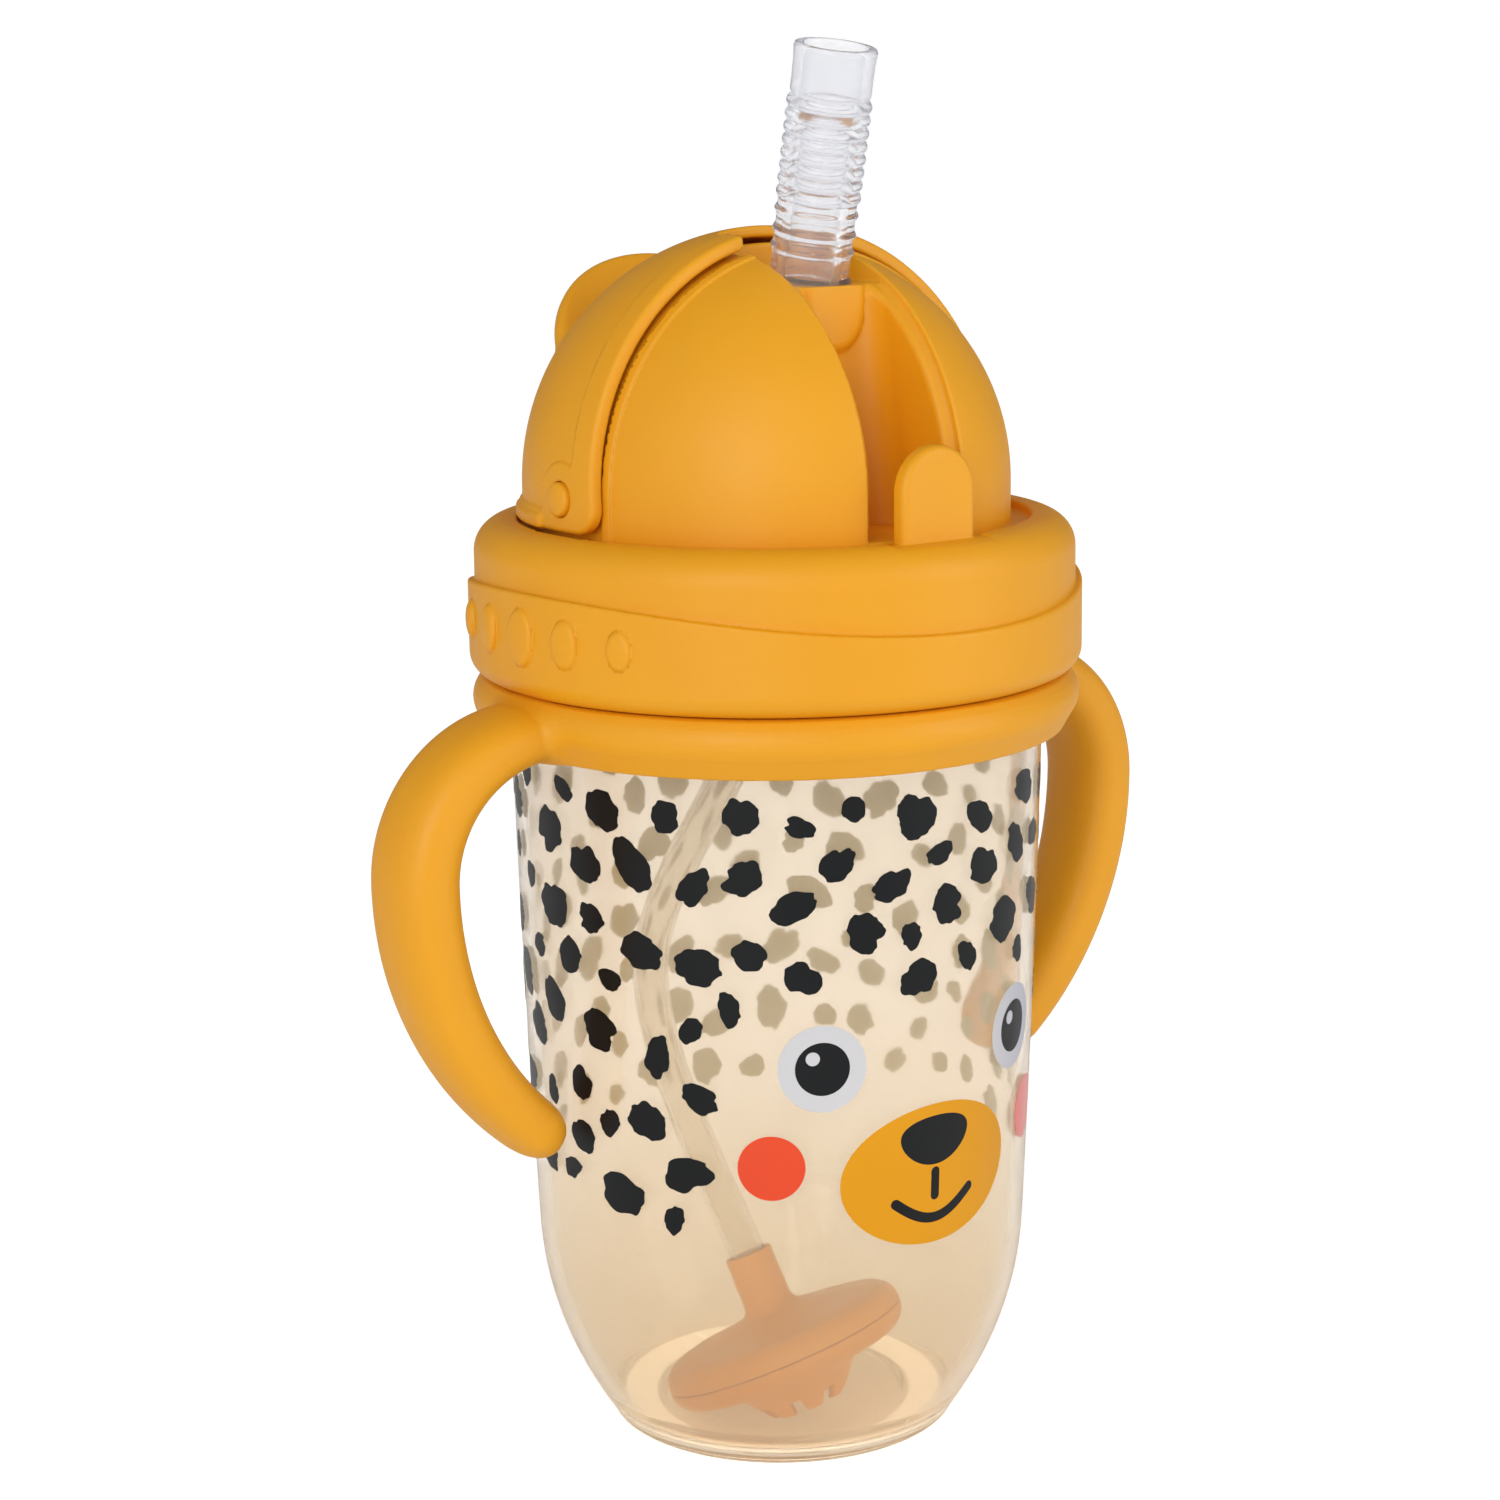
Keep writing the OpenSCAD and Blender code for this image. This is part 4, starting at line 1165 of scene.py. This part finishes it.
def tube_at(place):
    """A point on the centre line; place runs from 0 to 3."""
    piece = min(2, int(place))
    u = place - piece
    start, leave, end, arrive = TUBE_CURVES[piece]
    square, cube = u * u, u * u * u
    return ((2 * cube - 3 * square + 1) * start + (cube - 2 * square + u) * leave
            + (3 * square - 2 * cube) * end + (cube - square) * arrive)


def make_tube(name):
    line = np.array([tube_at(3 * i / TUBE_RINGS) for i in range(TUBE_RINGS + 1)])
    heading = np.gradient(line, axis=0)
    heading /= np.linalg.norm(heading, axis=1)[:, None]
    aside = np.cross(heading[0], [0, 1, 0])
    aside /= np.linalg.norm(aside)
    frames = []
    for i in range(TUBE_RINGS + 1):
        aside = aside - heading[i] * (aside @ heading[i])
        aside /= np.linalg.norm(aside)
        frames.append((line[i], aside, np.cross(heading[i], aside)))
    angles = (np.arange(TUBE_SIDES) * 2 * pi / TUBE_SIDES)[:, None]
    points = []
    for wall_r, chamfer in ((TUBE_R, -TUBE_CHAMFER), (TUBE_BORE_R, TUBE_CHAMFER)):
        for k, (centre, first, second) in enumerate(frames):
            radius = wall_r + chamfer if k in (0, TUBE_RINGS) else wall_r
            points.append(centre + radius * (np.cos(angles) * first + np.sin(angles) * second))
    bore = (TUBE_RINGS + 1) * TUBE_SIDES
    i, j = np.meshgrid(np.arange(TUBE_RINGS), np.arange(TUBE_SIDES), indexing="ij")
    row, j = i.ravel() * TUBE_SIDES, j.ravel()
    k = (j + 1) % TUBE_SIDES
    outside = np.stack([row + j, row + k, row + TUBE_SIDES + k, row + TUBE_SIDES + j], 1)
    inside = outside[:, ::-1] + bore
    j = np.arange(TUBE_SIDES)
    k = (j + 1) % TUBE_SIDES
    last = TUBE_RINGS * TUBE_SIDES
    top = np.stack([j, bore + j, bore + k, k], 1)
    bottom = np.stack([last + j, last + k, bore + last + k, bore + last + j], 1)
    faces = [np.concatenate([outside, inside, top, bottom])]
    return new_mesh(name, np.concatenate(points), faces, sharp_angle=60)


tube = finish_piece(make_tube("inner_tube_silicone"),
                    TUBE, None, ["inner_tube"])
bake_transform(tube)


# ---------------------------------------------------------------- weight

WEIGHT = shift(*WEIGHT_CENTRE) @ turn("Z", WEIGHT_TURN) @ turn("Y", WEIGHT_TILT)
WEIGHT_R = 16.6
RIM_R = WEIGHT_R - 2.7    # centre of the arcs round the shells' rims


def sharp(points):
    """Corners that rounded() leaves alone."""
    return [(r, z, 0.0) for r, z in points]


# (r, z, corner radius) of the upper shell, with z from the weight's centre
UPPER_SHELL = [
    (2.6, 13.2, 0.15), (3.2, 13.2, 0.2), (3.3, 5.2, 1.6), (9.0, 3.6, 4.0),
    *sharp(arc(RIM_R, 0.4, 2.6, 74, 2, 14)),
    (WEIGHT_R - 0.1, 0.05, 0.05), (WEIGHT_R - 1.5, 0.05, 0.05),
    *sharp(arc(RIM_R, 0.4, 1.2, 0, 80, 8)),
    (8.5, 2.05, 0.3), (2.0, 2.05, 0.2), (2.0, 7.8, 0.2), (2.6, 7.8, 0.1)]
finish_piece(lathe("weight_upper_moulding", rounded(UPPER_SHELL, 0.1), 160, 50, WEIGHT),
             YELLOW_WEIGHT, "weight", ["weight_upper_shell"])

# (r, z) of the lower shell
LOWER_SHELL = [
    (WEIGHT_R - 1.5, -0.05), (WEIGHT_R - 0.1, -0.05), *arc(RIM_R, -0.4, 2.6, -2, -72, 9),
    (9.4, -3.35), (5.1, -8.4), (3.7, -8.4), (7.0, -4.2), (6.6, -3.4), (2.0, -3.4),
    (2.0, -2.05), (8.5, -2.05), *arc(RIM_R, -0.4, 1.2, -80, 0, 6)]


def lower_shell_field(x, y, z):
    """The lower shell, with four slots cut across its foot."""
    radius = np.hypot(x, y)
    shell = polygon_distance(radius, z, LOWER_SHELL)
    for i in range(4):
        angle = radians(45 * i + 20)
        slot = np.abs(-x * sin(angle) + y * cos(angle)) - 0.8
        slot = np.maximum(np.maximum(slot, z + 6.5), radius - 8)
        shell = round_cut(shell, slot, 0.15)
    return shell


def move_points(piece, matrix):
    """Moves a finished mesh's points, leaving its stored normals."""
    mesh = piece.data
    coords = np.zeros(len(mesh.vertices) * 3, np.float32)
    mesh.vertices.foreach_get("co", coords)
    coords = transform(coords.reshape(-1, 3) / MM, matrix) * MM
    mesh.vertices.foreach_set("co", coords.astype(np.float32).ravel())
    mesh.update()


lower_shell = surface("weight_lower_moulding", lower_shell_field, (-17.2, -17.2, -8.6),
                      (17.2, 17.2, 0.6), 0.34)
move_points(lower_shell, WEIGHT)
finish_piece(lower_shell, YELLOW_WEIGHT, "weight", ["weight_lower_shell"])

# (r, z) of the ring inside the shells
BALLAST = [(5, -1.5), (13.0, -1.5), (13.8, -0.7), (13.8, 0.7), (13.0, 1.5), (5, 1.5)]
finish_piece(lathe("ballast_ring", rounded(BALLAST, 0.3), 128, 50, WEIGHT),
             STEEL, "weight", ["weight_ballast"])


# ---------------------------------------------------------------- floor

def floor_material():
    """Near-white floor that glows more for the camera, directly and through the bottle."""
    made, tree = new_material("pale_floor")
    coords = add(tree, "ShaderNodeTexCoord").outputs["Object"]
    drift = noise(tree, coords, scale=3.0, detail=2.0)
    rays = add(tree, "ShaderNodeLightPath").outputs
    seen = calc(tree, "MAXIMUM", rays["Is Camera Ray"], rays["Is Transmission Ray"])
    shader = add(tree, "ShaderNodeBsdfPrincipled", {
        "Base Color": mix_colour(tree, drift, srgb(250, 250, 250), srgb(252, 252, 252)),
        "Emission Color": (1, 1, 1, 1),
        "Emission Strength": map_range(tree, seen, to_min=0.10, to_max=0.62),
        "Roughness": 0.75,
        "Specular IOR Level": 0.2})
    add(tree, "ShaderNodeOutputMaterial", {"Surface": shader.outputs["BSDF"]})
    return made


pale_floor = floor_material()
bpy.ops.mesh.primitive_plane_add(size=12.0, location=(0, 0, 0))
floor = bpy.context.object
floor.name = "floor"
floor.data.materials.append(pale_floor)


# ---------------------------------------------------------------- light

def studio_world():
    """A white studio, dimmer overhead and brighter on the camera's side."""
    world = bpy.data.worlds.new("studio")
    bpy.context.scene.world = world
    world.use_nodes = True
    tree = world.node_tree
    tree.nodes.clear()
    coords = add(tree, "ShaderNodeTexCoord").outputs["Generated"]
    axes = add(tree, "ShaderNodeSeparateXYZ", {"Vector": coords}).outputs
    overhead = map_range(tree, axes["Z"], from_min=0.15, from_max=0.95,
                         to_min=1.0, to_max=0.55, kind="SMOOTHSTEP")
    towards_camera = calc(tree, "ADD", calc(tree, "MULTIPLY", axes["X"], -0.588),
                          calc(tree, "MULTIPLY", axes["Y"], -0.809))
    side_light = map_range(tree, towards_camera, from_min=-0.7, from_max=0.6,
                           to_min=0.34, to_max=0.92, kind="SMOOTHSTEP")
    strength = calc(tree, "MULTIPLY", overhead, side_light)
    # reflections are dimmed; the camera sees full white, directly and through the bottle
    rays = add(tree, "ShaderNodeLightPath").outputs
    dimming = calc(tree, "MULTIPLY", rays["Is Glossy Ray"], 0.45)
    strength = calc(tree, "MULTIPLY", strength, calc(tree, "SUBTRACT", 1.0, dimming))
    direct = calc(tree, "MAXIMUM", rays["Is Camera Ray"], rays["Is Transmission Ray"])
    background = add(tree, "ShaderNodeBackground", {
        "Strength": calc(tree, "MAXIMUM", strength, direct), "Color": (1, 1, 1, 1)})
    add(tree, "ShaderNodeOutputWorld", {"Surface": background.outputs["Background"]})


def softbox(name, place, width, height, power, target=(0, 0, 0.09)):
    light = bpy.data.lights.new(name, "AREA")
    light.shape = "RECTANGLE"
    light.size = width
    light.size_y = height
    light.energy = power
    box = bpy.data.objects.new(name, light)
    bpy.context.scene.collection.objects.link(box)
    box.location = place
    box.rotation_mode = "QUATERNION"
    box.rotation_quaternion = (Vector(target) - Vector(place)).to_track_quat("-Z", "Y")


studio_world()
softbox("key_left", (-0.95, -0.75, 0.55), width=0.55, height=0.9, power=5.0)
softbox("fill_right", (0.65, -0.95, 0.45), width=0.5, height=0.9, power=3.2)


# ---------------------------------------------------------------- camera

CAMERA_TURN = radians(-36)         # about Z from the front, towards -X
CAMERA_RISE = radians(10.539)
CAMERA_ROLL = radians(0.574)
CAMERA_TARGET = Vector((0, 0, 0.10094))
CAMERA_DISTANCE = 0.420

back = Vector((sin(CAMERA_TURN) * cos(CAMERA_RISE), -cos(CAMERA_TURN) * cos(CAMERA_RISE),
               sin(CAMERA_RISE)))
level = Vector((cos(CAMERA_TURN), sin(CAMERA_TURN), 0))
upright = back.cross(level)
right = level * cos(CAMERA_ROLL) - upright * sin(CAMERA_ROLL)
up = level * sin(CAMERA_ROLL) + upright * cos(CAMERA_ROLL)
place = CAMERA_TARGET + back * CAMERA_DISTANCE

lens = bpy.data.cameras.new("camera")
camera = bpy.data.objects.new("camera", lens)
bpy.context.scene.collection.objects.link(camera)
camera.matrix_world = Matrix([(right[i], up[i], back[i], place[i]) for i in range(3)]
                             + [(0, 0, 0, 1)])
lens.sensor_width = 36.0
lens.lens = 75.68
lens.shift_x = -0.0173
lens.shift_y = -0.0472
lens.clip_start = 0.01
lens.clip_end = 50
bpy.context.scene.camera = camera
bpy.context.scene.view_settings.view_transform = "Standard"
bpy.context.scene.view_settings.look = "None"
